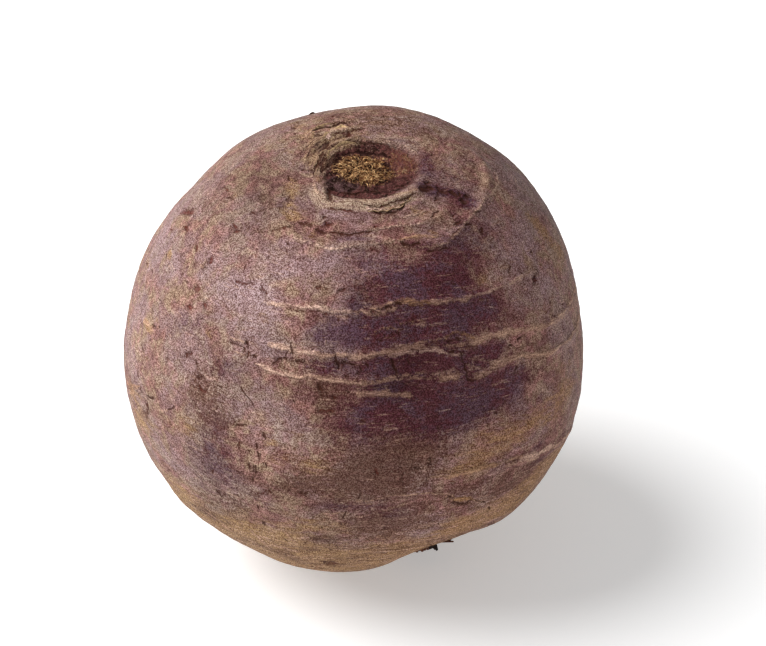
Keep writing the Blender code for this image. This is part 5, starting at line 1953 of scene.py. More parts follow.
    def speckle(self, graph: Graph, colour: object, place: object, grain: bpy.types.Node,
                heart: object, purple: object) -> object:
        """Dusty light and dark grain over the ground, with dark specks and pits.

        Args:
            graph: The graph that is built.
            colour: The colour under it.
            place: The position in millimetres.
            grain: The dusty grain.
            heart: The sunken heart's share.
            purple: The purple stain's share.

        Returns:
            The colour.
        """
        fine = graph.mix(grain.outputs["Shade"], self.grain_dark, self.grain_light)
        coarse = graph.mix(grain.outputs["Coarse"], self.coarse_dark, self.coarse_light)
        quiet = graph.math("MULTIPLY_ADD", heart, -0.5, 1.0)
        colour = graph.mix(quiet, colour, fine, "MULTIPLY")
        colour = graph.mix(quiet, colour, coarse, "MULTIPLY")
        dust = graph.noise(graph.vector("ADD", place, (41.0, 3.0, 19.0)), 3.0, 1.0, 0.5)
        dulled = graph.math("MULTIPLY_ADD", purple, -0.40, 0.45)
        dusty = graph.math("MULTIPLY", graph.between(dust, 0.63, 0.72), dulled)
        colour = graph.mix(dusty, colour, linear(self.dust))
        tall = graph.vector("MULTIPLY", place, (1.0, 1.0, 0.6))
        distance, kept = graph.cells(graph.vector("ADD", tall, (3.0, 8.0, 1.0)), 0.62, 0.30)
        pits = graph.math("MULTIPLY", graph.math("SUBTRACT", 1.0, graph.between(distance, 0.08, 0.18)), kept)
        specks = graph.math("MULTIPLY", graph.math("MAXIMUM", grain.outputs["Specks"], pits), 0.72)
        return graph.mix(specks, colour, linear(self.crack_and_shadow_brown))

    def crown(self, graph: Graph, effects: Effects, colour: object, place: object, edge: object,
              bark: object) -> tuple:
        """Layered bark round the scar, and the fibrous heart inside it.

        Args:
            graph: The graph that is built.
            effects: The shared node groups.
            colour: The colour under it.
            place: The position in millimetres.
            edge: Distance outside the heart's edge in millimetres.
            bark: The layered bark's strength.

        Returns:
            The colour, its relief, and the heart's share.
        """
        straw_share, orange_share, slate_share = graph.mark("heart")
        scar = (FORM.crown_x / MM, FORM.crown_y / MM)
        around = self.polar(graph, place, scar, turns=3.4, rate=1.5, out=edge)
        layers = graph.noise(around, 1.0, 4.0, 0.62, 0.4)
        wobble = graph.noise(place, 0.9, 3.0, 0.7)
        height_of = graph.node("ShaderNodeSeparateXYZ")
        graph.feed(height_of.inputs[0], place)
        lip = graph.math("MULTIPLY", graph.between(edge, -0.2, 0.7), graph.between(edge, 4.2, 3.0))
        lip = graph.math("MULTIPLY", lip, graph.between(height_of.outputs[1], -9.0, -12.5))
        lip = graph.math("MULTIPLY", lip, graph.between(layers, 0.34, 0.50))
        colour = graph.coat(colour, self.lip, lip, strength=0.8)
        skin_bark = graph.mix(graph.between(layers, 0.42, 0.56), linear(self.bark_dark), linear(self.bark))
        share = use_group(graph, effects.cover, share=bark, field=wobble, soft=0.5).outputs[0]
        colour = graph.mix(graph.math("MULTIPLY", share, 0.65), colour, skin_bark)
        # Painted shade in the slits under the overlapping bark layers, which also sink a little in the
        # relief.
        slit_with_painted_shade = graph.math("SUBTRACT", 1.0, graph.between(layers, 0.34, 0.41))
        slit_with_painted_shade = graph.math("MULTIPLY", slit_with_painted_shade, share)
        colour = graph.coat(colour, self.heart_dark, slit_with_painted_shade, strength=0.60)
        fine = graph.noise(place, 2.2, 2.0, 0.7)
        spokes = graph.noise(self.polar(graph, place, (1.0, -3.0), turns=5.5, rate=0.45), 1.0, 2.0, 0.6)
        rings = graph.noise(self.polar(graph, place, (2.6, -2.4), turns=1.6, rate=1.7), 1.0, 3.0, 0.6)
        fibre = graph.math("MULTIPLY_ADD", spokes, 0.40, graph.math("MULTIPLY", fine, 0.35))
        fibre = graph.math("MULTIPLY_ADD", rings, 0.25, fibre)
        straws = graph.mix(graph.between(fibre, 0.45, 0.53), linear(self.heart_dark), linear(self.straw))
        straws = graph.mix(graph.between(fibre, 0.54, 0.61), straws, linear(self.bright_straw))
        ripe = graph.mix(graph.between(fibre, 0.40, 0.54), linear(self.heart_dark), linear(self.ripe))
        rusty = graph.mix(graph.between(fibre, 0.44, 0.54), linear(self.ripe), linear(self.orange))
        rusty = graph.coat(rusty, self.bark, graph.between(fibre, 0.52, 0.60), strength=0.6)
        grey = graph.mix(graph.between(fibre, 0.42, 0.55), linear(self.heart_dark), linear(self.slate))

        def zone(share_of: object) -> object:
            """Tears a zone's edge.

            Args:
                share_of: The zone's even share.

            Returns:
                Its share with a torn edge.
            """
            torn = graph.math("MULTIPLY_ADD", graph.math("SUBTRACT", fine, 0.5), 1.6, share_of)
            torn = graph.math("MULTIPLY_ADD", graph.math("SUBTRACT", wobble, 0.5), 1.2, torn)
            return graph.math("MULTIPLY", graph.between(torn, 0.25, 0.75), graph.between(share_of, 0.0, 0.2))

        heart = graph.mix(zone(orange_share), ripe, rusty)
        heart = graph.mix(graph.math("MULTIPLY", zone(slate_share), 0.55), heart, grey)
        heart = graph.mix(zone(straw_share), heart, straws)
        ragged_edge = graph.math("MULTIPLY_ADD", graph.math("SUBTRACT", wobble, 0.5), 2.2, edge)
        blurred = graph.math("MULTIPLY_ADD", graph.between(height_of.outputs[0], 5.0, 12.0), 0.8, 0.35)
        inside = graph.between(ragged_edge, blurred, graph.math("MULTIPLY", blurred, -1.0))
        colour = graph.mix(inside, colour, heart)
        height = graph.math("MULTIPLY", graph.math("MULTIPLY", layers, share), 0.40)
        height = graph.math("MULTIPLY_ADD", slit_with_painted_shade, -0.15, height)
        return colour, graph.math("MULTIPLY_ADD", graph.math("MULTIPLY", fibre, inside), 0.9, height), inside

    @staticmethod
    def polar(graph: Graph, place: object, middle: tuple[float, float], turns: float, rate: float,
              out: object | None = None) -> object:
        """A position whose first two numbers go round a middle and whose third goes outwards.

        Args:
            graph: The graph that is built.
            place: The position in millimetres.
            middle: Plan place of the middle in millimetres.
            turns: How fast the position changes round the middle.
            rate: How fast the position changes outwards.
            out: Distance outwards, or None for the one from the middle.

        Returns:
            The position's socket.
        """
        parts = graph.node("ShaderNodeSeparateXYZ")
        graph.feed(parts.inputs[0], graph.vector("SUBTRACT", place, (*middle, 0.0)))
        around = graph.math("ARCTAN2", parts.outputs[1], parts.outputs[0])
        if out is None:
            side, rise = parts.outputs[0], graph.math("MULTIPLY", parts.outputs[1], 1.3)
            squared = graph.math("MULTIPLY", rise, rise)
            out = graph.math("SQRT", graph.math("MULTIPLY_ADD", side, side, squared))
        made = graph.node("ShaderNodeCombineXYZ")
        graph.feed(made.inputs[0], graph.math("MULTIPLY", graph.math("COSINE", around), turns))
        graph.feed(made.inputs[1], graph.math("MULTIPLY", graph.math("SINE", around), turns))
        graph.feed(made.inputs[2], graph.math("MULTIPLY", out, rate))
        return made.outputs[0]

    def inks(self, graph: Graph, effects: Effects, colour: object, place: object, along: object,
             grain: bpy.types.Node, purple: object) -> tuple:
        """The corky streaks, with a painted shadow line under the wide ones, stronger where the skin is
        purple.

        Args:
            graph: The graph that is built.
            effects: The shared node groups.
            colour: The colour under it.
            place: The position in millimetres.
            along: The position drawn out along the growth rings.
            grain: The dusty grain.
            purple: The purple stain's share.

        Returns:
            The colour, the streaks' share, and their relief.
        """
        offset, half_width, tone = graph.mark("streak")
        strands = graph.noise(graph.vector("ADD", along, (5.0, 9.0, 2.0)), 3.2, 3.0, 0.65)
        ragged = graph.math("MULTIPLY_ADD", half_width, 0.30, 0.07)
        soft = graph.math("MULTIPLY_ADD", half_width, 1.10, 0.26)
        wider = graph.math("MULTIPLY_ADD", half_width, 1.12, 0.02)
        eaten = graph.math("MULTIPLY_ADD", graph.math("SUBTRACT", grain.outputs["Coarse"], 0.5), 0.30, wider)
        eaten = graph.math("MULTIPLY", eaten, graph.between(half_width, 0.0, 0.05))
        mask = use_group(
            graph, effects.line, position=place, offset=offset, half_width=eaten,
            ragged=ragged, soft=soft, size=1.3, breaks=0.35,
        ).outputs["Mask"]
        below_zero = graph.math("MULTIPLY", tone, -1.0, clamp=True)
        warm = graph.mix(below_zero, linear(self.ink_tan), linear(self.ink_ochre))
        ink = graph.mix(graph.math("MULTIPLY", tone, 1.0, clamp=True), warm, linear(self.ink_bone))
        shade = graph.mix(graph.between(strands, 0.38, 0.60),
                          self.ink_dark, self.ink_light)
        ink = graph.mix(1.0, ink, shade, "MULTIPLY")
        fine = graph.mix(grain.outputs["Shade"], self.ink_grain_dark, self.ink_grain_light)
        ink = graph.mix(1.0, ink, fine, "MULTIPLY")
        # Painted shadow: a dark brown line just below each wide streak, stronger on the purple, also sunk a
        # little in the relief.
        below = graph.math("ADD", offset, graph.math("ADD", half_width, 0.14))
        shadow_line_width = graph.math("MULTIPLY_ADD", half_width, 0.40, -0.05)
        under = use_group(
            graph, effects.line, position=place, offset=below, half_width=shadow_line_width,
            ragged=0.14, soft=0.2, size=0.8, breaks=0.9,
        ).outputs["Mask"]
        under = graph.math("MULTIPLY", under, graph.math("MULTIPLY_ADD", purple, 0.55, 0.2))
        colour = graph.mix(under, colour, linear(self.crack_and_shadow_brown))
        height = graph.math("MULTIPLY", mask, graph.math("MULTIPLY_ADD", strands, 0.30, 0.02))
        height = graph.math("MULTIPLY_ADD", under, -0.10, height)
        cover = graph.math("MULTIPLY_ADD", graph.between(strands, 0.34, 0.58), 0.32, 0.58)
        cover = graph.math("MULTIPLY", cover, graph.math("MULTIPLY_ADD", half_width, 1.6, 0.50, clamp=True))
        cover = graph.math("MULTIPLY_ADD", graph.math("MAXIMUM", tone, 0.0), 0.30, cover, clamp=True)
        dim = graph.mix(purple, (1.0, 1.0, 1.0, 1.0), self.ink_on_purple)
        ink = graph.mix(1.0, ink, dim, "MULTIPLY")
        return graph.mix(graph.math("MULTIPLY", mask, cover), colour, ink), mask, height

    def crack_and_painted_shadow_lines(self, graph: Graph, effects: Effects, colour: object, place: object,
                    grain: bpy.types.Node) -> tuple:
        """Cracks, slits and pits, with a faint corky rim, and the painted shadow lines drawn like them.

        Args:
            graph: The graph that is built.
            effects: The shared node groups.
            colour: The colour under it.
            place: The position in millimetres.
            grain: The dusty grain.

        Returns:
            The colour, and the share of its dark lines.
        """
        offset, half_width, tone = graph.mark("crack")
        ragged = graph.math("MULTIPLY_ADD", half_width, 0.45, 0.05)
        bite = graph.math("MULTIPLY_ADD", half_width, 0.8, 0.02)
        wider = graph.math("MULTIPLY_ADD", half_width, 0.78, 0.01)
        eaten = graph.math("MULTIPLY_ADD", graph.math("SUBTRACT", grain.outputs["Coarse"], 0.5), bite, wider)
        eaten = graph.math("MULTIPLY", eaten, graph.between(half_width, 0.0, 0.05))
        crack = use_group(
            graph, effects.line, position=place, offset=offset, half_width=eaten,
            ragged=ragged, soft=graph.math("MULTIPLY_ADD", half_width, 0.8, 0.02), size=0.6, breaks=0.4,
        ).outputs["Mask"]
        rim = use_group(
            graph, effects.line, position=place, offset=offset,
            half_width=graph.math("MULTIPLY", half_width, 2.0), ragged=ragged, soft=0.3, size=0.7, breaks=0.8,
        ).outputs["Mask"]
        colour = graph.coat(colour, self.brown, rim, strength=0.25)
        below_zero = graph.math("MULTIPLY", tone, -1.0, clamp=True)
        red = graph.mix(below_zero, linear(self.crack_and_shadow_brown), linear(self.crack_red))
        inner = graph.mix(graph.math("MULTIPLY", tone, 1.0, clamp=True), red, linear(self.crack_and_shadow_black))
        cover = graph.math("MULTIPLY_ADD", graph.math("MINIMUM", tone, 0.0), 0.30, 0.90)
        return graph.mix(graph.math("MULTIPLY", crack, cover), colour, inner), crack


@dataclass(frozen=True)
class FibreFinish:
    """Dry broken fibre or bark, whose pieces carry their own shade in a mark named tone."""

    name: str
    pale: Colour
    deep: Colour
    roughness: float = 0.85
    streak: float = 0.25
    grain_dark: Gain = (0.72, 0.70, 0.68, 1.0)
    grain_light: Gain = (1.22, 1.22, 1.22, 1.0)

    def material(self, effects: Effects) -> bpy.types.Material:
        """Builds the material.

        Args:
            effects: The shared node groups.

        Returns:
            The material.
        """
        made = bpy.data.materials.new(self.name)
        made.use_nodes = True
        graph = Graph(made.node_tree)
        shader = made.node_tree.nodes["Principled BSDF"]
        place = graph.vector("SCALE", graph.node("ShaderNodeTexCoord").outputs["Object"])
        place.node.inputs["Scale"].default_value = 1.0 / MM
        tone, _, _ = graph.mark("tone")
        streaks = use_group(graph, effects.fibre, position=place, size=self.streak, length=3.0)
        grain = use_group(graph, effects.grain, position=place, size=0.22)
        share = graph.math("MULTIPLY_ADD", graph.math("SUBTRACT", streaks.outputs["Shade"], 0.5), 0.8, tone)
        colour = graph.mix(graph.math("MINIMUM", graph.math("MAXIMUM", share, 0.0), 1.0),
                           linear(self.deep), linear(self.pale))
        shade = graph.mix(grain.outputs["Coarse"], self.grain_dark, self.grain_light)
        graph.feed(shader.inputs["Base Color"], graph.mix(1.0, colour, shade, "MULTIPLY"))
        shader.inputs["Roughness"].default_value = self.roughness
        shader.inputs["Specular IOR Level"].default_value = 0.25
        relief = graph.node("ShaderNodeBump")
        relief.inputs["Strength"].default_value = 1.0
        relief.inputs["Distance"].default_value = MM
        graph.feed(relief.inputs["Height"], graph.math("MULTIPLY", streaks.outputs["Height"], 0.18))
        graph.feed(shader.inputs["Normal"], relief.outputs[0])
        return made


class PieceMesh:
    """Gathers points, faces and tones, and turns them into one piece."""

    def __init__(self) -> None:
        """Starts empty."""
        self.points: list[tuple[float, float, float]] = []
        self.faces: list[tuple[int, ...]] = []
        self.tones: list[float] = []

    def tube(self, line: list[Vector], radii: list[float], sides: int, tone: float,
             flat: float = 1.0) -> None:
        """Adds a closed tapered tube.

        Args:
            line: The points that it follows.
            radii: Its radius at each of them.
            sides: How many sides it has.
            tone: Its shade, 0 deep to 1 pale.
            flat: Its thickness as a share of its width.
        """
        start = len(self.points)
        for i, (point, radius) in enumerate(zip(line, radii)):
            ahead = line[min(i + 1, len(line) - 1)] - line[max(i - 1, 0)]
            turn = ahead.to_track_quat("Z", "Y").to_matrix()
            for k in range(sides):
                angle = 2.0 * math.pi * k / sides
                around = Vector((math.cos(angle) * radius, math.sin(angle) * radius * flat, 0.0))
                self.points.append(tuple(point + turn @ around))
                self.tones.append(tone + 0.25 * (i / (len(line) - 1) - 0.5))
        for i in range(len(line) - 1):
            low, high = start + i * sides, start + (i + 1) * sides
            self.faces.extend((low + k, low + (k + 1) % sides, high + (k + 1) % sides, high + k)
                              for k in range(sides))
        self.faces.append(tuple(start + k for k in reversed(range(sides))))
        top = start + (len(line) - 1) * sides
        self.faces.append(tuple(top + k for k in range(sides)))

    def sheet(self, rows: list[list[Vector]], thickness: float, tones: list[float]) -> None:
        """Adds a closed thin sheet.

        Args:
            rows: Its upper points, row by row, all rows alike in length.
            thickness: How thick it is.
            tones: The shade of each row.
        """
        start, wide, count = len(self.points), len(rows[0]), len(rows)
        for level in (0.0, -thickness):
            for row, tone in zip(rows, tones):
                for point in row:
                    self.points.append((point.x, point.y, point.z + level))
                    self.tones.append(tone + 4.0 * level / MM * 0.1)
        under = start + wide * count
        for i in range(count - 1):
            for j in range(wide - 1):
                a, b = start + i * wide + j, start + (i + 1) * wide + j
                c, d = a + wide * count, b + wide * count
                self.faces.extend(((a, b, b + 1, a + 1), (c, c + 1, d + 1, d)))
        rim = [i * wide for i in range(count)] + [(count - 1) * wide + j for j in range(1, wide)]
        rim += [i * wide + wide - 1 for i in reversed(range(count - 1))] + list(reversed(range(1, wide - 1)))
        for k, here in enumerate(rim):
            following = rim[(k + 1) % len(rim)]
            self.faces.append((start + here, under + here, under + following, start + following))

    def build(self, name: str, material: bpy.types.Material) -> bpy.types.Object:
        """Makes the object.

        Args:
            name: The piece's name.
            material: Its finish.

        Returns:
            The object, linked to the scene.
        """
        mesh = bpy.data.meshes.new(name)
        mesh.from_pydata(self.points, [], self.faces)
        layer = mesh.attributes.new("tone", "FLOAT_VECTOR", "POINT")
        values = np.repeat(np.array(self.tones, np.float32), 3)
        layer.data.foreach_set("vector", values)
        mesh.materials.append(material)
        mesh.shade_smooth()
        mesh.update()
        piece = bpy.data.objects.new(name, mesh)
        bpy.context.scene.collection.objects.link(piece)
        return piece


@dataclass
class HeartFibres:
    """Torn strands of the leaf stalks, lying in arcs and spokes over the sunken heart."""

    count: int = 400
    middle: tuple[float, float] = (2.0, -4.8)
    spread: tuple[float, float] = (5.9, 4.4)
    length: tuple[float, float] = (0.4, 1.6)
    radius: tuple[float, float] = (0.025, 0.085)
    upright_share: float = 0.22
    upright_length: float = 0.7
    arc_share: float = 0.35
    heading_scatter: float = 0.30
    edge_tone: float = 0.22
    middle_gain: float = 0.60
    front_line: float = -6.4
    front_loss: float = 0.30
    right_line: float = 5.5
    right_loss: float = 0.20
    tone_scatter: float = 0.42
    sides: int = 5
    seed: int = 5

    def build(self, material: bpy.types.Material) -> bpy.types.Object:
        """Makes the fibres in one piece.

        Args:
            material: Their finish.

        Returns:
            The object, linked to the scene.
        """
        draw = np.random.default_rng(self.seed)
        piece = PieceMesh()
        for _ in range(self.count):
            turn, away = draw.uniform(0.0, 2.0 * math.pi), draw.uniform(0.0, 1.0) ** 0.6
            x = self.middle[0] + self.spread[0] * away * math.cos(turn)
            y = self.middle[1] + self.spread[1] * away * math.sin(turn)
            centre_share = max(0.0, 1.0 - away)
            bright = self.edge_tone + self.middle_gain * centre_share
            bright = bright - self.front_loss * (y < self.front_line)
            bright = bright - self.right_loss * (x > self.right_line)
            tone = float(np.clip(draw.normal(bright, self.tone_scatter), -0.3, 1.2))
            reach = draw.uniform(*self.length)
            radius = draw.uniform(*self.radius) * MM
            across = 0.5 * math.pi if draw.uniform() < self.arc_share else 0.0
            heading = turn + across + draw.normal(0.0, self.heading_scatter)
            if draw.uniform() < self.upright_share:
                self.stand(piece, draw, (x, y), reach * self.upright_length, radius, tone)
            else:
                self.lie(piece, draw, (x, y), heading, reach, radius, tone)
        return piece.build("heart_fibres", material)

    def lie(self, piece: PieceMesh, draw: np.random.Generator, foot: tuple[float, float], heading: float,
            reach: float, radius: float, tone: float) -> None:
        """Adds a strand that lies along the surface with its middle a little raised.

        Args:
            piece: The mesh that it is added to.
            draw: The draw.
            foot: Its plan place in millimetres.
            heading: Its plan direction in radians.
            reach: Its length in millimetres.
            radius: Its radius in metres.
            tone: Its shade.
        """
        line = []
        bend = draw.normal(0.0, 0.35)
        lift = draw.uniform(0.0, 0.22)
        for k, share in enumerate((-0.5, -0.17, 0.17, 0.5)):
            angle = heading + bend * share
            x = foot[0] + math.cos(angle) * reach * share
            y = foot[1] + math.sin(angle) * reach * share
            point = Vector(FORM.crown_point(x, y))
            rise = (-0.05, lift, lift, -0.05)[k] + draw.uniform(0.0, 0.12)
            line.append(point + Vector((0.0, 0.0, rise * MM + 0.25 * MM)))
        piece.tube(line, [radius * 0.5, radius, radius * 0.9, radius * 0.4], self.sides, tone, 0.6)

    def stand(self, piece: PieceMesh, draw: np.random.Generator, foot: tuple[float, float], reach: float,
              radius: float, tone: float) -> None:
        """Adds a short strand that stands up and leans.

        Args:
            piece: The mesh that it is added to.
            draw: The draw.
            foot: Its plan place in millimetres.
            reach: Its length in millimetres.
            radius: Its radius in metres.
            tone: Its shade.
        """
        start = Vector(FORM.crown_point(*foot))
        lean = Vector((draw.normal(0.0, 0.6), draw.normal(0.0, 0.6), 0.8)).normalized()
        tip = start + lean * reach * MM
        piece.tube([start - lean * 0.3 * MM, start.lerp(tip, 0.5), tip], [radius, radius, radius * 0.4],
                   self.sides, tone, 0.7)


@dataclass(frozen=True)
class Flake:
    """A loose flake of bark: its hinge line in plan, its width, its lift at the loose edge and its shade."""

    hinge: Path
    width: float
    lift: float
    tone: float
    side: float = 1.0


@dataclass
class BarkFlakes:
    """Loose flakes of bark round the scar."""

    thickness: float = 0.10 * MM
    columns: int = 6
    tear: float = 0.7
    wave: float = 0.10
    tuck: float = 0.12
    curl: float = 0.10
    flakes: tuple[Flake, ...] = (
        Flake(((2.2, -16.2), (4.0, -16.0), (6.0, -15.4), (8.0, -14.4), (9.6, -13.0)), 0.9, 0.35, 0.75, 1.0),
        Flake(((5.6, -15.0), (7.6, -14.0), (9.4, -12.6), (10.6, -11.2)), 0.6, 0.25, 0.6, 1.0),
        Flake(((-4.6, -2.6), (-3.8, -0.6), (-2.6, 1.0)), 0.7, 0.18, 0.7, -1.0),
        Flake(((-3.4, 0.8), (-1.6, 2.2), (0.6, 3.1)), 0.6, 0.16, 0.7, -1.0),
        Flake(((-3.4, 7.0), (-2.2, 7.4), (-0.8, 7.5)), 1.1, 0.40, 0.95, -1.0),
        Flake(((-5.0, 3.8), (-4.6, 4.6), (-4.0, 5.3)), 0.6, 0.35, 1.0, -1.0),
        Flake(((-7.0, 6.6), (-5.4, 7.8), (-3.6, 8.6)), 0.7, 0.25, 0.5, -1.0),
        Flake(((-8.2, 19.6), (-7.6, 19.8), (-7.0, 19.7)), 0.25, 0.50, -0.4, 1.0),
    )

    def build(self, material: bpy.types.Material) -> bpy.types.Object:
        """Makes the flakes in one piece.

        Args:
            material: Their finish.

        Returns:
            The object, linked to the scene.
        """
        piece = PieceMesh()
        for number, flake in enumerate(self.flakes):
            line = smooth_path(flake.hinge, 9)
            rows: list[list[Vector]] = [[] for _ in range(self.columns)]
            for i, (x, y) in enumerate(line):
                before, after = line[max(i - 1, 0)], line[min(i + 1, len(line) - 1)]
                step = after - before
                across = np.array([step[1], -step[0]]) / np.linalg.norm(step) * flake.side
                t = i / (len(line) - 1)
                taper = math.sin(math.pi * min(max(t, 0.03), 0.97)) ** 0.5
                tear = 0.8 + self.tear * noise.noise(Vector((i * 0.21, number * 7.3, 0.0)))
                wave = self.wave * noise.noise(Vector((i * 0.16, number * 5.1, 4.0)))
                for j in range(self.columns):
                    s = j / (self.columns - 1)
                    reach = flake.width * taper * tear * s + wave
                    foot = Vector(FORM.crown_point(x + across[0] * reach, y + across[1] * reach))
                    rise = -self.tuck + (flake.lift + self.tuck) * s**1.3 * taper
                    curl = self.curl * noise.noise(Vector((i * 0.2, j * 0.5, number * 3.1)))
                    rows[j].append(foot + Vector((0.0, 0.0, (rise + curl * s) * MM)))
            tones = [flake.tone * (0.6 + 0.5 * j / (self.columns - 1)) for j in range(self.columns)]
            piece.sheet(rows, self.thickness, tones)
        return piece.build("bark_flakes", material)


@dataclass
class TapRoot:
    """The tap root's torn stump, with its side strand and broken fibres."""

    strand: tuple[float, float, float] = (4.6, 0.5, 2.0)
    strand_count: int = 9
    stump_from: float = 0.86
    strands_from: float = 0.97
    lump_count: int = 16
    collar_count: int = 60
    collar: tuple[float, float] = (-2.4, 4.4)
    seed: int = 9

    def build(self, dark: bpy.types.Material, brown: bpy.types.Material) -> list[bpy.types.Object]:
        """Makes the stump and its torn strands.

        Args:
            dark: The stump's finish.
            brown: The strands' finish.

        Returns:
            The two objects, linked to the scene.
        """
        draw = np.random.default_rng(self.seed)
        way = Vector(direction(FORM.tap_azimuth, FORM.tap_elevation))
        centre = Vector(FORM.centre)
        foot = centre + way * (self.stump_from * FORM.mean_radius)
        end = centre + way * FORM.tap_reach
        stump = PieceMesh()
        line = [foot.lerp(end, t) for t in (0.0, 0.3, 0.5, 0.7, 0.85, 1.0)]
        radii = [FORM.tap_radius * r for r in (1.1, 1.0, 0.9, 0.86, 0.74, 0.45)]
        stump.tube(line, radii, 14, 0.3)
        for _ in range(self.lump_count):
            spread = Vector(draw.normal(0.0, 0.4, 3))
            spread -= way * spread.dot(way)
            start = end + spread * FORM.tap_radius * 1.3 - way * draw.uniform(1.2, 2.6) * MM
            tip = start + (way * 1.4 + spread * 0.5).normalized() * draw.uniform(1.1, 2.3) * MM
            tip.z = max(tip.z, 0.5 * MM)
            radius = draw.uniform(0.3, 0.62) * MM
            stump.tube([start, start.lerp(tip, 0.5), tip], [radius, radius * 1.05, radius * 0.5], 7,
                       draw.uniform(0.0, 0.5), 0.8)
        torn = PieceMesh()
        root = centre + way * (self.strands_from * FORM.mean_radius)
        tip = end + Vector(self.strand) * MM
        for _ in range(self.strand_count):
            sway = Vector(draw.normal(0.0, 0.32, 3)) * MM
            middle = root.lerp(tip, 0.55) + sway
            end_point = root.lerp(tip, draw.uniform(0.7, 1.0)) + sway * 1.5
            radius = draw.uniform(0.40, 0.78) * MM
            torn.tube([root + sway * 0.5, root.lerp(middle, 0.5), middle, end_point],
                      [radius, radius * 1.1, radius, radius * 0.35], 7, draw.uniform(0.2, 0.9), 0.5)
        side = way.cross(Vector((0.0, 0.0, 1.0))).normalized()
        for _ in range(self.collar_count):
            across, back = draw.uniform(*self.collar), draw.uniform(-1.0, 1.0)
            lateral = side * across * MM + way.cross(side) * back * MM
            outwards = (way * FORM.mean_radius + lateral).normalized()
            start = centre + outwards * (self.strands_from * FORM.mean_radius)
            short = 0.05 + 0.30 * max(across - 0.8, 0.0) + draw.uniform(0.0, 0.35)
            tip = end + lateral - way * short * MM + side * draw.uniform(-0.6, 0.6) * MM
            radius = draw.uniform(0.40, 0.80) * MM
            torn.tube([start, start.lerp(tip, 0.5), tip], [radius, radius, radius * 0.4], 7,
                      draw.uniform(0.0, 0.9), 0.6)
        return [stump.build("tap_root", dark), torn.build("tap_strand", brown)]


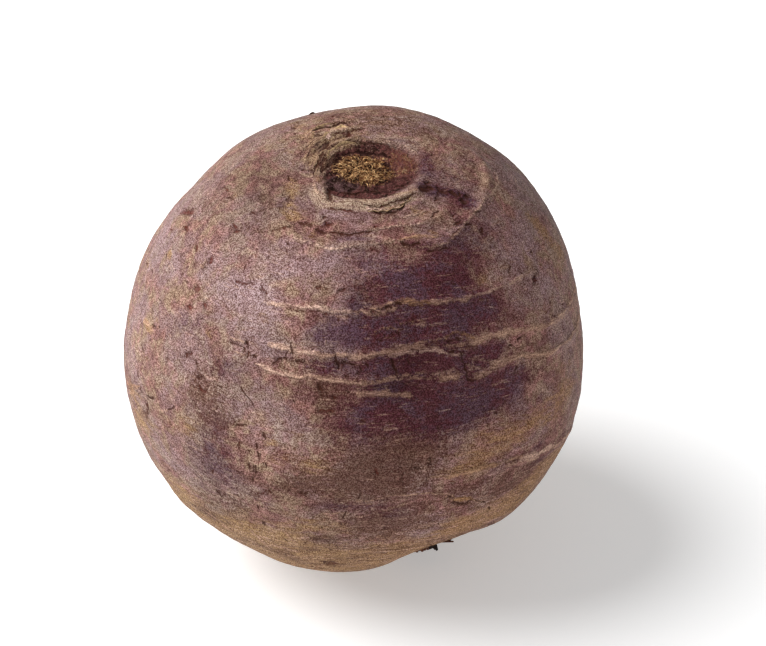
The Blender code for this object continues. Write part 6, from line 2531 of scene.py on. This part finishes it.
@dataclass
class Studio:
    """Pale floor, soft light and the camera."""

    image_width: int = 766
    image_height: int = 646
    sensor_mm: float = 36.0
    camera_elevation: float = 35.0
    camera_distance: float = 0.75
    pixels_per_mm: float = 5.1956
    centre_pixel: tuple[float, float] = (354.0, 338.0)
    key_elevation: float = 46.9
    key_azimuth: float = -97.5
    key_distance: float = 1.5
    key_size: float = 1.59
    key_power: float = 44.0
    fill_strength: float = 0.29
    floor_colour: Colour = (231, 231, 231)
    floor_glow: float = 0.357
    floor_reach: float = 3.0

    def add_camera(self) -> None:
        """Aims the camera so that the root's centre falls on its pixel."""
        focal_pixels = self.pixels_per_mm * self.camera_distance / MM
        data = bpy.data.cameras.new("camera")
        data.sensor_width = self.sensor_mm
        data.lens = self.sensor_mm * focal_pixels / self.image_width
        camera = bpy.data.objects.new("camera", data)
        bpy.context.scene.collection.objects.link(camera)
        elevation = math.radians(self.camera_elevation)
        back = Vector((0.0, -math.cos(elevation), math.sin(elevation)))
        up = Vector((0.0, math.sin(elevation), math.cos(elevation)))
        right = Vector((1.0, 0.0, 0.0))
        side = (self.image_width / 2.0 - self.centre_pixel[0]) / self.pixels_per_mm * MM
        rise = (self.centre_pixel[1] - self.image_height / 2.0) / self.pixels_per_mm * MM
        centre = Vector(FORM.centre)
        camera.location = centre + back * self.camera_distance
        look = (centre + right * side + up * rise) - camera.location
        camera.rotation_euler = look.to_track_quat("-Z", "Y").to_euler()
        bpy.context.scene.camera = camera

    def add_lights(self) -> None:
        """Adds the soft key light and the even fill."""
        data = bpy.data.lights.new("key", "AREA")
        data.shape = "DISK"
        data.size = self.key_size
        data.energy = self.key_power
        key = bpy.data.objects.new("key", data)
        bpy.context.scene.collection.objects.link(key)
        way = Vector(direction(self.key_azimuth, self.key_elevation))
        key.location = Vector(FORM.centre) + way * self.key_distance
        key.rotation_euler = way.to_track_quat("Z", "Y").to_euler()
        world = bpy.data.worlds.new("studio")
        world.use_nodes = True
        bpy.context.scene.world = world
        back = world.node_tree.nodes["Background"]
        back.inputs["Color"].default_value = (1.0, 1.0, 1.0, 1.0)
        back.inputs["Strength"].default_value = self.fill_strength

    def add_floor(self) -> None:
        """Lays the pale floor."""
        mesh = bpy.data.meshes.new("floor")
        reach = self.floor_reach
        corners = [(-reach, -reach, 0.0), (reach, -reach, 0.0), (reach, reach, 0.0), (-reach, reach, 0.0)]
        mesh.from_pydata(corners, [], [(0, 1, 2, 3)])
        floor = bpy.data.objects.new("floor", mesh)
        bpy.context.scene.collection.objects.link(floor)
        made = bpy.data.materials.new("pale_floor")
        made.use_nodes = True
        shader = made.node_tree.nodes["Principled BSDF"]
        shader.inputs["Base Color"].default_value = linear(self.floor_colour)
        shader.inputs["Roughness"].default_value = 0.9
        shader.inputs["Specular IOR Level"].default_value = 0.0
        shader.inputs["Emission Color"].default_value = (1.0, 1.0, 1.0, 1.0)
        shader.inputs["Emission Strength"].default_value = self.floor_glow
        mesh.materials.append(made)

    def build(self) -> None:
        """Sets up the whole studio."""
        self.add_camera()
        self.add_lights()
        self.add_floor()
        view = bpy.context.scene.view_settings
        view.view_transform = "Standard"
        view.look = "None"


def report(piece: bpy.types.Object) -> None:
    """Logs a piece's size in faces."""
    LOG.info("%s: %d points, %d faces", piece.name, len(piece.data.vertices), len(piece.data.polygons))


def main() -> None:
    """Builds the beetroot's pieces and the studio."""
    logging.basicConfig(level=logging.INFO, format="%(name)s: %(message)s")
    Studio().build()
    effects = Effects(grain_group(), line_group(), fibre_group(), cover_group())
    skin = SkinSurface(SkinGrid()).build("beetroot_skin")
    skin.data.materials.append(SkinFinish().material(effects))
    fibre = FibreFinish("heart_fibre", (232, 186, 130), (92, 50, 30)).material(effects)
    bark = FibreFinish("bark_flake", (196, 164, 124), (86, 60, 46)).material(effects)
    black = FibreFinish("tap_root_skin", (58, 38, 34), (18, 12, 12)).material(effects)
    brown = FibreFinish("tap_root_strand", (138, 88, 64), (66, 34, 28)).material(effects)
    pieces = [skin, HeartFibres().build(fibre), BarkFlakes().build(bark)]
    pieces += TapRoot().build(black, brown)
    for piece in pieces:
        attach(piece, BODY)
        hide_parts(NODE)
        report(piece)


if __name__ == "__main__":
    main()
